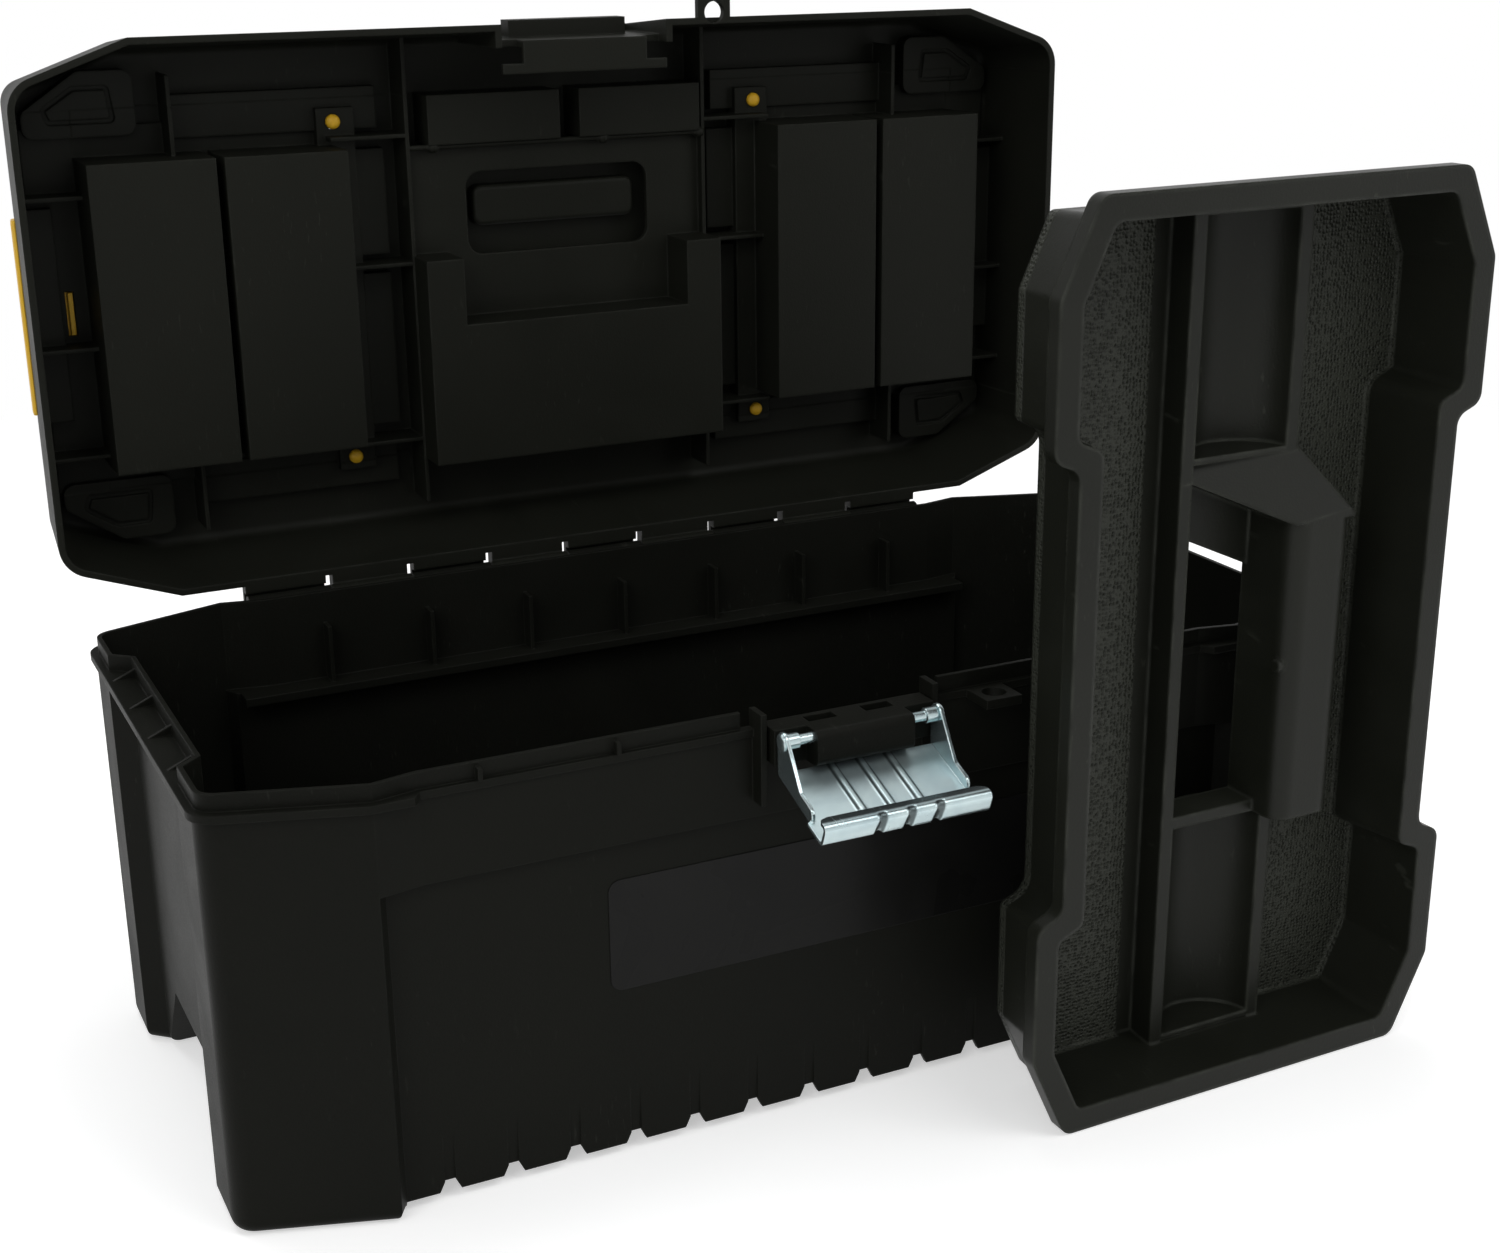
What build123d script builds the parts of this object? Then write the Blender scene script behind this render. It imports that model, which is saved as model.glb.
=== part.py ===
from build123d import *
import os

# Carpenter's toolbox: ribbed box, hinged lid with two organizers, metal latch and a lift-out tray.
# X runs along the box, -Y is the front, +Z is up; the origin is on the ground under the centre.

os.makedirs("parts", exist_ok=True)

# ---- driving dimensions, millimetres ----
# box
box_length = 401.0  # over the flange
box_depth = 193.0
box_height = 138.0  # ground to the top of the flange
corner_x = 46.9  # flattened corner along the length
corner_y = 15.2
corner_round = 8.0
wall = 2.4
running_gap = 0.5  # between parts that move past each other
pin_play = 0.05
flange_reach = 1.8  # how far the flange stands out from the wall
flange_thick = 2.5
flange_step = 2.7  # slope where the flange steps back
flange_edge = 1.0  # flange in front of the band
lip_height = 5.3
lip_wall = 1.6
panel_half = 148.6  # half the width of the sunk front and rear panels
panel_top = 108.3
panel_sink = 5.5
band_half = 137.4
band_sink = 3.0  # of the band above the panels
foot_height = 3.1
foot_round = 4.0
floor_low = 8.0  # underside of the floor
skirt_thick = 2.0
side_sink = 6.5
side_half = 48.0  # half the width of the sunk end wall
side_slope = 6.0
arch_height = 30.0
arch_deep = 18.0
arch_slope = 22.0
notch_count = 14
notch_pitch = 20.7
notch_width = 7.0
notch_rise = 3.6
groove_rise = 17.0
groove_sink = 0.8
rail_reach = 8.0
rail_thick = 3.0
rail_rib_rise = 21.0
rail_rib_pitch = 38.5
rail_rib_count = 7
tray_gap = 0.8  # between the tray and the ribs that centre it
rib_thin = 1.4
lip_rib_first = 76.0
lip_rib_pitch = 43.4
lip_rib_count = 3
lip_rib_rise = 4.0
lip_rib_inset = 1.2
end_rib_count = 4
end_rib_pitch = 28.6

# latch seat on the box
shelf_half = 28.0  # ledge that carries the latch
shelf_reach = 8.8
shelf_rise = 1.5  # above the flange
shelf_drop = 10.0  # below the flange
slot_first = 5.0
slot_wide = 10.0
slot_deep = 6.0
boss_half = 17.0  # bearing in front of the ledge
boss_reach = 7.5
boss_round = 2.5
pivot_reach = 4.0  # latch pivot in front of the ledge
pivot_drop = 1.0  # latch pivot below the flange
pin_radius = 1.7
pin_depth = 3.0  # of the pin in the bearing
guard_inner = 29.2  # ribs beside the latch
guard_thick = 2.0
guard_reach = 6.0
guard_rise = 6.0
guard_drop = 24.0

shackle_x = 51.5
shackle_bore = 8.0
tab_width = 13.0
tab_reach = 8.5
tab_thick = 3.0
tab_edge = 2.5  # plastic in front of the padlock hole

# lid
lid_length = 406.0
lid_depth = 193.5
lid_height = 48.0
lid_corner_x = 40.6
lid_corner_y = 14.6
lid_round = 12.0
lid_draft = 4.8  # degrees
lid_edge_round = 6.0
lid_gap = 0.5  # between the closed lid and the flange

# hinge
hinge_back = 7.0  # hinge axis behind the lid's rear edge
hinge_low = 1.3  # hinge axis below the lid's rim
hinge_pitch = 31.07
hinge_count = 9
hinge_pin_radius = 1.5
knuckle_wall = 2.1
hinge_slot = 2.6
leaf_drop = 14.0
hinge_cover = 1.0  # the lid's band reaches this far past the hinge axis

# organizers
bin_inner = 86.0  # from the middle of the lid
bin_width = 44.2
bin_groove = 3.0
bin_half = 54.4
bin_floor = 16.6  # outer face of the bottom, above the rim
cover_half = 62.0
cover_end = 192.0
cover_thick = 2.4
cover_wing_half = 35.0
cover_wing_end = 198.4
cover_wing_drop = 6.0
cover_axis_x = 85.3
cover_axis_drop = 4.5
cover_pin_radius = 1.5
cover_eye_radius = 3.2
cover_eye_y = 62.7
cover_eye_width = 4.0
cover_tab_x = 183.5
cover_tab_half = 7.5
cover_tab_thick = 1.6
cover_tab_drop = 3.4
cover_peep = 2.8  # radius of the hole under each hinge eye
cover_round = 3.0

# handle well in the lid
well_half = 59.8  # outer faces of the well
well_front = 49.0
well_rear = 64.7
well_floor = 34.0
deep_front = 12.0
deep_floor = 15.0
ear_front = 12.7
ear_inner = 45.4
window_half = 37.0
window_front = 42.0
window_rear = 11.0
window_round = 6.0
grip_front = 36.0  # front of the bar, in front of the handle's axis
grip_width = 15.0
grip_top = 47.0
grip_thick = 9.0
grip_round = 3.5
hump_half = 33.0  # the raised middle of the handle
plate_front = 46.0  # flat of the handle, in front of its axis
plate_rear = 6.0
plate_thick = 2.2
plate_round = 5.0
handle_axis = 38.0  # above the rim
handle_eye = 5.0
stub_radius = 2.5
stub_length = 1.9

# inner ribs, front pockets and corner pads of the lid
pocket_front = 71.0
pocket_rear = 53.0
pocket_floor = 29.0
pocket_spans = [(-52.0, 0.0), (8.0, 58.0)]
pad_low = 39.0
pad_groove = 1.3
pad_groove_width = 1.7
pad_round = 4.0
ring_round = 2.0
pad_outline = [(155.0, 61.5), (194.0, 61.5), (194.0, 70.5), (174.0, 84.0), (155.0, 84.0)]
pad_ring = [(162.0, 66.0), (185.5, 66.0), (187.5, 71.5), (176.0, 79.0), (163.5, 79.0)]
ledge_low = 40.5  # raised flats beside the organizers
ledge_long_x = (68.0, 145.0)
ledge_long_y = (59.5, 74.5)
ledge_narrow_x = (66.0, 80.0)
ledge_narrow_y = [(-52.0, -13.0), (-6.0, 52.0)]
rib_low = 30.0  # free edge of the inner ribs, above the rim
rib_end = 82.0
front_rib_x = 145.0
cross_rib_y = [-57.0, -10.0, 57.0]
end_rib_y = [-42.0, 11.0, 50.0]

# strike plate of the lid
strike_half = 32.0
strike_sink = 5.8
strike_rise = 40.0
strike_depth = 11.5
strike_thick = 2.0
strike_notch = 8.0
strike_notch_rise = 7.0
keeper_half = 23.0
keeper_top = 26.0
keeper_low = 18.0
keeper_thick = 6.2

# latch
latch_half = 27.5  # outer faces of the ears
sheet = 1.2
latch_offset = 11.4  # plate below the pivot line
latch_near = 1.8  # the plate starts this far past the pivot
latch_far = 34.0  # front wall, across the plate's end
fold_drop = 4.5  # top of the front wall
hook_far = 28.9  # edge of the hook, folded back over the plate
hook_drop = 6.0
lip_half = 28.7  # the plate is this wide in front of the ears
shoulder = 24.5
ear_round = 3.3
ear_mid = (15.0, 7.5)  # edge of the ear: distance from the pivot and drop
ear_far = (23.0, 7.5)
ear_end = (24.5, 9.6)
bend_radius = 1.4
pin_head_radius = 3.0
pin_head_thick = 1.0
latch_tilt = 20.2  # plate below the level when the latch hangs, degrees

# label
label_half = 79.5
label_low = 58.0
label_high = 95.5
label_round = 4.0
label_thick = 0.3

# tray
tray_length = 300.0
tray_width = 164.4
tray_corner_x = 29.0
tray_corner_y = 13.2
tray_round = 5.0
waist_half = 70.7
waist_slope = 3.7
waist_sink = 9.2
tray_rim = 8.0
tray_wall = 2.0
tray_floor = 31.5
tray_draft = 4.0  # degrees
skirt_drop = 6.0
step_inset = 2.6
step_drop = 9.0
spine_x = 3.0  # spine to the right of the middle
trough_radius = 18.5
spine_rib = 4.5
spine_drop = 20.5
trough_drop = 36.0  # bottom of the troughs below the rim
trough_near = 88.0
trough_far = 213.0
trough_end = 12.0
tray_window_left = 15.5
tray_window_low = 92.0
tray_window_sill = 18.5  # floor left below the ramp
grip_near = 17.5  # sides of the grip, to the right of the middle
grip_far = 42.0
grip_drop = 9.0
grip_low = 88.0  # ends of the grip along the tray
grip_high = 190.0
grip_corner = 6.5
grip_wall = 2.2
grip_knob = 142.0
grip_knob_drop = 13.0
grip_knob_radius = 2.2
grip_knob_rise = 1.2
ramp_left = 205.0  # where the ramp above the window leaves the left rib
ramp_top = 211.0  # and the end wall of the upper trough
tray_stand_x = 122.6
tray_stand_y = 142.8
tray_turn = 1.3  # degrees

tol = 0.01

# ---- places that follow from them ----
half_length = box_length / 2 - flange_reach
half_depth = box_depth / 2 - flange_reach
side_x = half_length - side_sink
panel_y = half_depth - panel_sink
band_y = half_depth - band_sink
lip_top = box_height + lip_height
rim_z = box_height + lid_gap
lid_rear = lid_depth / 2
hinge_y = lid_rear + hinge_back
hinge_z = rim_z - hinge_low
knuckle_radius = hinge_pin_radius + knuckle_wall
hinge_half = hinge_count * hinge_pitch / 2
shelf_front = band_y + shelf_reach
pivot_y = shelf_front + pivot_reach
pivot_z = box_height - pivot_drop
shackle_y = box_depth / 2 + tab_reach - tab_edge - shackle_bore / 2
foot_gap = side_half - arch_slope
floor_top = floor_low + wall
rail_top = panel_top + wall
strike_y = lid_depth / 2 - strike_sink

# The lid is drawn closed, x along the box, y to the rear, height above its rim, and
# stands open at a right angle, turned about the hinge.
lid_frame = Plane(
    origin=(0, hinge_y + hinge_low, hinge_z + hinge_y), x_dir=(1, 0, 0), z_dir=(0, 1, 0)
)
# The latch is drawn with x along its plate from the pivot and y away from the plate.
latch_frame = Plane(
    origin=(0, -pivot_y, pivot_z), x_dir=Vector(0, -1, 0).rotate(Axis.X, latch_tilt), z_dir=(-1, 0, 0)
)
# The tray is drawn lying, x along its length and its rim at height 0, and stands on its end.
tray_frame = Plane(
    origin=(tray_stand_x, -tray_stand_y, tray_length / 2),
    x_dir=(0, 0, 1),
    z_dir=Vector(0, -1, 0).rotate(Axis.Z, tray_turn),
)


def four_way(quarter):
    """Closed outline from the points of one quarter, ordered from the X axis to the Y axis."""
    right = quarter + [(-x, y) for x, y in reversed(quarter)]
    return right + [(-x, -y) for x, y in right]


def box_outline(front_y, slope_start):
    """Wall outline with sunk ends, flattened corners and a front set back to front_y."""
    return four_way(
        [
            (side_x, side_half),
            (half_length, side_half + side_slope),
            (half_length, half_depth - corner_y),
            (half_length - corner_x, half_depth),
            (slope_start, front_y),
        ]
    )


def round_outline(sketch, half_x, radius):
    """Round the two big corners of each quarter of an outline."""
    outer = sketch.vertices().filter_by(lambda v: abs(abs(v.X) - half_x) < tol)
    fillet(outer.sort_by(lambda v: abs(v.Y))[-4:], radius)


def octagon(length, depth, cut_x, cut_y):
    """Rectangle outline with flattened corners."""
    return four_way([(length / 2, depth / 2 - cut_y), (length / 2 - cut_x, depth / 2)])


def inset(plan, amount):
    """The outline moved inwards by amount."""
    with BuildSketch(mode=Mode.PRIVATE) as smaller:
        add(plan.sketch)
        offset(amount=-amount, kind=Kind.INTERSECTION)
    return smaller.sketch


def block(x_span, y_span, z_span, mode=Mode.ADD):
    """Box between the given limits, in the frame of the part that is being built."""
    spans = (x_span, y_span, z_span)
    size = [abs(high - low) for low, high in spans]
    middle = tuple((low + high) / 2 for low, high in spans)
    with Locations(middle):
        return Box(*size, mode=mode)


def thin(place, thickness=rib_thin):
    """Span of a rib centred on a place."""
    return (place - thickness / 2, place + thickness / 2)


def slab(plane, points, amount, mode=Mode.ADD):
    """Flat piece with the given outline, standing on a plane."""
    with BuildSketch(plane, mode=Mode.PRIVATE) as outline:
        Polygon(*points, align=None)
    return extrude(outline.sketch, amount=amount, mode=mode)


def disc(plane, centre, radius, amount, mode=Mode.ADD):
    """Round piece standing on a plane."""
    with BuildSketch(plane, mode=Mode.PRIVATE) as outline:
        with Locations(centre):
            Circle(radius)
    return extrude(outline.sketch, amount=amount, mode=mode)


def write(piece, name, frame=Plane.XY):
    """Set a finished piece in its frame, label it and write it to its own file."""
    with BuildPart(frame) as placed:
        add(piece.part)
    placed.part.label = name
    export_step(placed.part, f"parts/{name}.step")


# ---- plan outlines of the box ----
with BuildSketch() as low_plan:
    Polygon(*box_outline(panel_y, panel_half), align=None)
    round_outline(low_plan, half_length, corner_round)

with BuildSketch() as band_plan:
    Polygon(*box_outline(band_y, band_half), align=None)
    round_outline(band_plan, half_length, corner_round)

with BuildSketch() as flange_plan:
    Polygon(
        *four_way(
            [
                (box_length / 2, box_depth / 2 - corner_y),
                (box_length / 2 - corner_x, box_depth / 2),
                (band_half + flange_step, box_depth / 2),
                (band_half, band_y + flange_edge),
            ]
        ),
        align=None,
    )
    round_outline(flange_plan, box_length / 2, corner_round + flange_reach)


def end_arches(grow):
    """Cut the raised underside between the feet at both ends, grown by the given wall."""
    low = side_half + grow
    high = foot_gap + grow
    rise = arch_height + grow
    depth = box_length / 2 - side_x + arch_deep + grow
    for side in (-1, 1):
        plane = Plane.YZ.offset(side * box_length / 2)
        slab(plane, [(low, 0), (high, rise), (-high, rise), (-low, 0)], -side * depth, Mode.SUBTRACT)


# ---- hollow of the box ----
with BuildPart() as hollow:
    extrude(Plane.XY.offset(wall) * inset(low_plan, wall), amount=panel_top)
    extrude(Plane.XY.offset(rail_top) * inset(band_plan, wall), amount=lip_top - panel_top)
    middle_x = (-panel_half - wall, panel_half + wall)
    block(middle_x, (-half_depth, half_depth), (0, floor_top), Mode.SUBTRACT)
    block((-half_length, half_length), (-foot_gap - wall, foot_gap + wall), (0, floor_top), Mode.SUBTRACT)
    end_arches(wall)

# ---- box ----
with BuildPart() as body_shell:
    extrude(low_plan.sketch, amount=panel_top)
    fillet(body_shell.edges().group_by(Axis.Z)[0], foot_round)
    extrude(Plane.XY.offset(panel_top) * band_plan.sketch, amount=box_height - panel_top)
    # raised underside, with a shallow pan inside the skirt of the panels
    pan_x = panel_half - skirt_thick
    pan_y = panel_y - skirt_thick
    block((-panel_half, panel_half), (-half_depth, half_depth), (0, foot_height), Mode.SUBTRACT)
    block((-half_length, half_length), (-foot_gap, foot_gap), (0, foot_height), Mode.SUBTRACT)
    block((-pan_x, pan_x), (-pan_y, pan_y), (0, floor_low), Mode.SUBTRACT)
    end_arches(0)
    # flange and lip, with short ribs and with gussets at the ends
    extrude(Plane.XY.offset(box_height - flange_thick) * flange_plan.sketch, amount=flange_thick)
    extrude(Plane.XY.offset(box_height) * inset(band_plan, wall - lip_wall), amount=lip_height)
    ribs = []
    rib_top = box_height + lip_rib_rise
    for i in range(lip_rib_count):
        for side in (-1, 1):
            x = side * (lip_rib_first + i * lip_rib_pitch)
            past_corner = max(0, abs(x) - (half_length - corner_x))
            reach = half_depth - lip_rib_inset - past_corner * corner_y / corner_x
            ribs.append(block(thin(x), (-reach, reach), (box_height, rib_top), Mode.PRIVATE))
    for i in range(end_rib_count):
        y = (i - (end_rib_count - 1) / 2) * end_rib_pitch
        edge = side_x - wall
        gusset = [(half_length, box_height), (edge, rib_top), (-edge, rib_top), (-half_length, box_height)]
        ribs.append(slab(Plane.XZ.offset(-y - rib_thin / 2), gusset, rib_thin, Mode.PRIVATE))
    add(ribs)
    add(hollow.part, mode=Mode.SUBTRACT)

    # rails that carry the tray, with ribs that centre it
    rails = []
    for side in (-1, 1):
        edge = side * (panel_y - wall)
        rail = (edge, edge - side * rail_reach)
        rail_z = (rail_top - rail_thick, rail_top)
        rails.append(block((-panel_half, panel_half), rail, rail_z, Mode.PRIVATE))
        for i in range(rail_rib_count):
            x = (i - (rail_rib_count - 1) / 2) * rail_rib_pitch
            reach = (side * (band_y - wall), side * (tray_width / 2 + tray_gap))
            rails.append(block(thin(x), reach, (rail_top, rail_top + rail_rib_rise), Mode.PRIVATE))
    add(rails)

    # notches and fading grooves along the bottom of the panels
    notch_top = foot_height + notch_rise
    cuts = []
    for side in (-1, 1):
        for i in range(notch_count):
            x = (i - (notch_count - 1) / 2) * notch_pitch
            half = notch_width / 2
            notch = [(x - half, foot_height), (x - half / 2, notch_top)]
            notch += [(x + half / 2, notch_top), (x + half, foot_height)]
            inside = Plane.XZ.offset(side * (panel_y - skirt_thick))
            cuts.append(slab(inside, notch, side * skirt_thick, Mode.PRIVATE))
            face = side * panel_y
            sunk = face - side * groove_sink
            groove = [(face, notch_top + groove_rise), (face, notch_top), (sunk, notch_top)]
            cuts.append(slab(Plane.YZ.offset(x - half / 2), groove, half, Mode.PRIVATE))
    add(cuts, mode=Mode.SUBTRACT)

    # the lip is left out where the lid's strike plate comes down
    lip_gap_half = strike_half + wall + running_gap
    inner_y = band_y - wall
    block((-lip_gap_half, lip_gap_half), (-half_depth, -inner_y), (box_height, lip_top), Mode.SUBTRACT)

    # ledge, bearing and guard ribs of the latch
    shelf_top = box_height + shelf_rise
    shelf_low = box_height - shelf_drop
    block((-shelf_half, shelf_half), (-shelf_front, -inner_y), (shelf_low, box_height))
    block((-shelf_half, shelf_half), (-shelf_front, -strike_y - running_gap), (box_height, shelf_top))
    block((-boss_half, boss_half), (-shelf_front - boss_reach, -shelf_front), (shelf_low, shelf_top))
    fillet(body_shell.edges().filter_by(Axis.X).group_by(Axis.Y)[0], boss_round)
    for side in (-1, 1):
        guard = (side * guard_inner, side * (guard_inner + guard_thick))
        guard_z = (box_height - guard_drop, box_height + guard_rise)
        block(guard, (-band_y - guard_reach, -inner_y), guard_z)
        slot = (side * slot_first, side * (slot_first + slot_wide))
        slot_y = (wall - shelf_front, -strike_y - wall)
        block(slot, slot_y, (shelf_top - slot_deep, shelf_top), Mode.SUBTRACT)
        seat = boss_half - pin_depth - running_gap
        bore = side * (boss_half - seat)
        seat_plane = Plane.YZ.offset(side * seat)
        disc(seat_plane, (-pivot_y, pivot_z), pin_radius + pin_play, bore, Mode.SUBTRACT)

    # padlock tab
    tab_x = (shackle_x - tab_width / 2, shackle_x + tab_width / 2)
    tab_low = box_height - tab_thick
    block(tab_x, (-box_depth / 2 - tab_reach, -inner_y), (tab_low, box_height))
    disc(Plane.XY.offset(tab_low), (shackle_x, -shackle_y), shackle_bore / 2, tab_thick, Mode.SUBTRACT)

    # hinge knuckles, each on a leaf with a gusset
    knuckles = []
    leaf_start = inner_y + wall / 2
    leaf_low = box_height - flange_thick
    leaf = [(leaf_start, box_height), (hinge_y, box_height), (hinge_y, leaf_low), (leaf_start, leaf_low)]
    gusset = [(leaf_start, leaf_low), (hinge_y, leaf_low), (leaf_start, leaf_low - leaf_drop)]
    for i in range(0, hinge_count, 2):
        start = i * hinge_pitch - hinge_half + running_gap / 2
        length = hinge_pitch - running_gap
        plane = Plane.YZ.offset(start)
        knuckles.append(disc(plane, (hinge_y, hinge_z), knuckle_radius, length, Mode.PRIVATE))
        knuckles.append(slab(plane, leaf, length, Mode.PRIVATE))
        middle = Plane.YZ.offset(start + (length - rib_thin) / 2)
        knuckles.append(slab(middle, gusset, rib_thin, Mode.PRIVATE))
    add(knuckles)
    bore = Plane.YZ.offset(-hinge_half)
    disc(bore, (hinge_y, hinge_z), hinge_pin_radius + pin_play, 2 * hinge_half, Mode.SUBTRACT)
write(body_shell, "body_shell")

# ---- label on the front panel ----
with BuildPart() as front_label:
    with BuildSketch(Plane.XZ.offset(panel_y)):
        with Locations((0, (label_low + label_high) / 2)):
            RectangleRounded(2 * label_half, label_high - label_low, label_round)
    extrude(amount=label_thick)
write(front_label, "front_label")

# ---- hinge pin ----
with BuildPart() as hinge_pin:
    disc(Plane.YZ.offset(-hinge_half), (hinge_y, hinge_z), hinge_pin_radius, 2 * hinge_half)
write(hinge_pin, "hinge_pin")


# ---- lid ----
with BuildSketch() as lid_plan:
    Polygon(*octagon(lid_length, lid_depth, lid_corner_x, lid_corner_y), align=None)
    round_outline(lid_plan, lid_length / 2, lid_round)
with BuildPart() as lid_inner:
    extrude(inset(lid_plan, wall), amount=lid_height - wall, taper=lid_draft)
    fillet(lid_inner.faces().sort_by(Axis.Z)[-1].edges(), lid_edge_round - wall)

# Wells sunk from the top of the lid: x span, y span and the height of their floor.
bed_floor = lid_height - cover_thick - running_gap
axis_height = lid_height - cover_axis_drop
trough_floor = axis_height - cover_eye_radius - running_gap
trough_inner = cover_axis_x - cover_axis_drop - 2 * running_gap
trough_outer = cover_axis_x + cover_eye_radius + running_gap
deep_half = well_half - wall
deep_rear = well_rear - wall
wells = [
    ((-deep_half, deep_half), (-well_front, deep_rear), well_floor + wall),
    ((-deep_half, deep_half), (deep_front + wall, deep_rear), deep_floor + wall),
]
for side in (-1, 1):
    ear_span = (side * (ear_inner + wall), side * deep_half)
    wells.append((ear_span, (wall - ear_front, deep_rear), deep_floor + wall))
    bed = cover_half + running_gap
    bed_end = side * (cover_end + running_gap)
    wells.append(((side * trough_inner, bed_end), (-bed, bed), bed_floor))
    wing = cover_wing_half + running_gap
    wing_floor = lid_height - cover_wing_drop - running_gap
    wells.append(((side * (cover_end - wall), side * lid_length / 2), (-wing, wing), wing_floor))
    eye_end = cover_eye_y + cover_eye_width / 2 + running_gap
    wells.append(((side * trough_inner, side * trough_outer), (-eye_end, eye_end), trough_floor))
    for i in range(2):
        start = bin_inner + wall + i * (bin_width + bin_groove)
        bin_span = (side * start, side * (start + bin_width - 2 * wall))
        wells.append((bin_span, (wall - bin_half, bin_half - wall), bin_floor + wall))
for low_x, high_x in pocket_spans:
    pocket_y = (wall - pocket_front, -pocket_rear - wall)
    wells.append(((low_x + wall, high_x - wall), pocket_y, pocket_floor + wall))


def grown(span, amount):
    """The span with its ends moved outwards."""
    low, high = sorted(span)
    return (low - amount, high + amount)


def corner_pad(points, radius, side, end, height, shrink=0.0):
    """Rounded flat in a corner of the lid, moved inwards by shrink."""
    with BuildSketch(Plane.XY.offset(pad_low), mode=Mode.PRIVATE) as pad:
        Polygon(*[(side * x, end * y) for x, y in points], align=None)
        fillet(pad.vertices(), radius)
        if shrink:
            offset(amount=-shrink, kind=Kind.INTERSECTION)
    return extrude(pad.sketch, amount=height, mode=Mode.PRIVATE)


with BuildPart() as lid_hollow:
    add(lid_inner.part)
    walls = [
        block(grown(x_span, wall), grown(y_span, wall), (floor - wall, lid_height), Mode.PRIVATE)
        for x_span, y_span, floor in wells
    ]
    recess_x = (-strike_half - wall, strike_half + wall)
    recess_y = (-lid_depth / 2, wall - strike_y)
    walls.append(block(recess_x, recess_y, (0, strike_rise + wall), Mode.PRIVATE))
    # ribs under the top, and the pads in the corners
    for x in (-well_half, well_half):
        walls.append(block(thin(x), (-lid_depth / 2, rib_end), (rib_low, lid_height), Mode.PRIVATE))
    for side in (-1, 1):
        for end in (-1, 1):
            span = (end * (bin_half - wall), end * rib_end)
            walls.append(block(thin(side * front_rib_x), span, (rib_low, lid_height), Mode.PRIVATE))
            walls.append(corner_pad(pad_outline, pad_round, side, end, lid_height - pad_low))
            ledge_x = [side * place for place in ledge_long_x]
            ledge_y = [end * place for place in ledge_long_y]
            walls.append(block(ledge_x, ledge_y, (ledge_low, lid_height), Mode.PRIVATE))
        for y in cross_rib_y:
            span = (side * well_half, side * (bin_inner + wall))
            walls.append(block(span, thin(y), (rib_low, lid_height), Mode.PRIVATE))
        for ledge_y in ledge_narrow_y:
            ledge_x = [side * place for place in ledge_narrow_x]
            walls.append(block(ledge_x, ledge_y, (ledge_low, lid_height), Mode.PRIVATE))
        for y in end_rib_y:
            span = (side * (bin_inner + 2 * bin_width), side * lid_length / 2)
            walls.append(block(span, thin(y), (rib_low, lid_height), Mode.PRIVATE))
    add(walls, mode=Mode.SUBTRACT)

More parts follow.
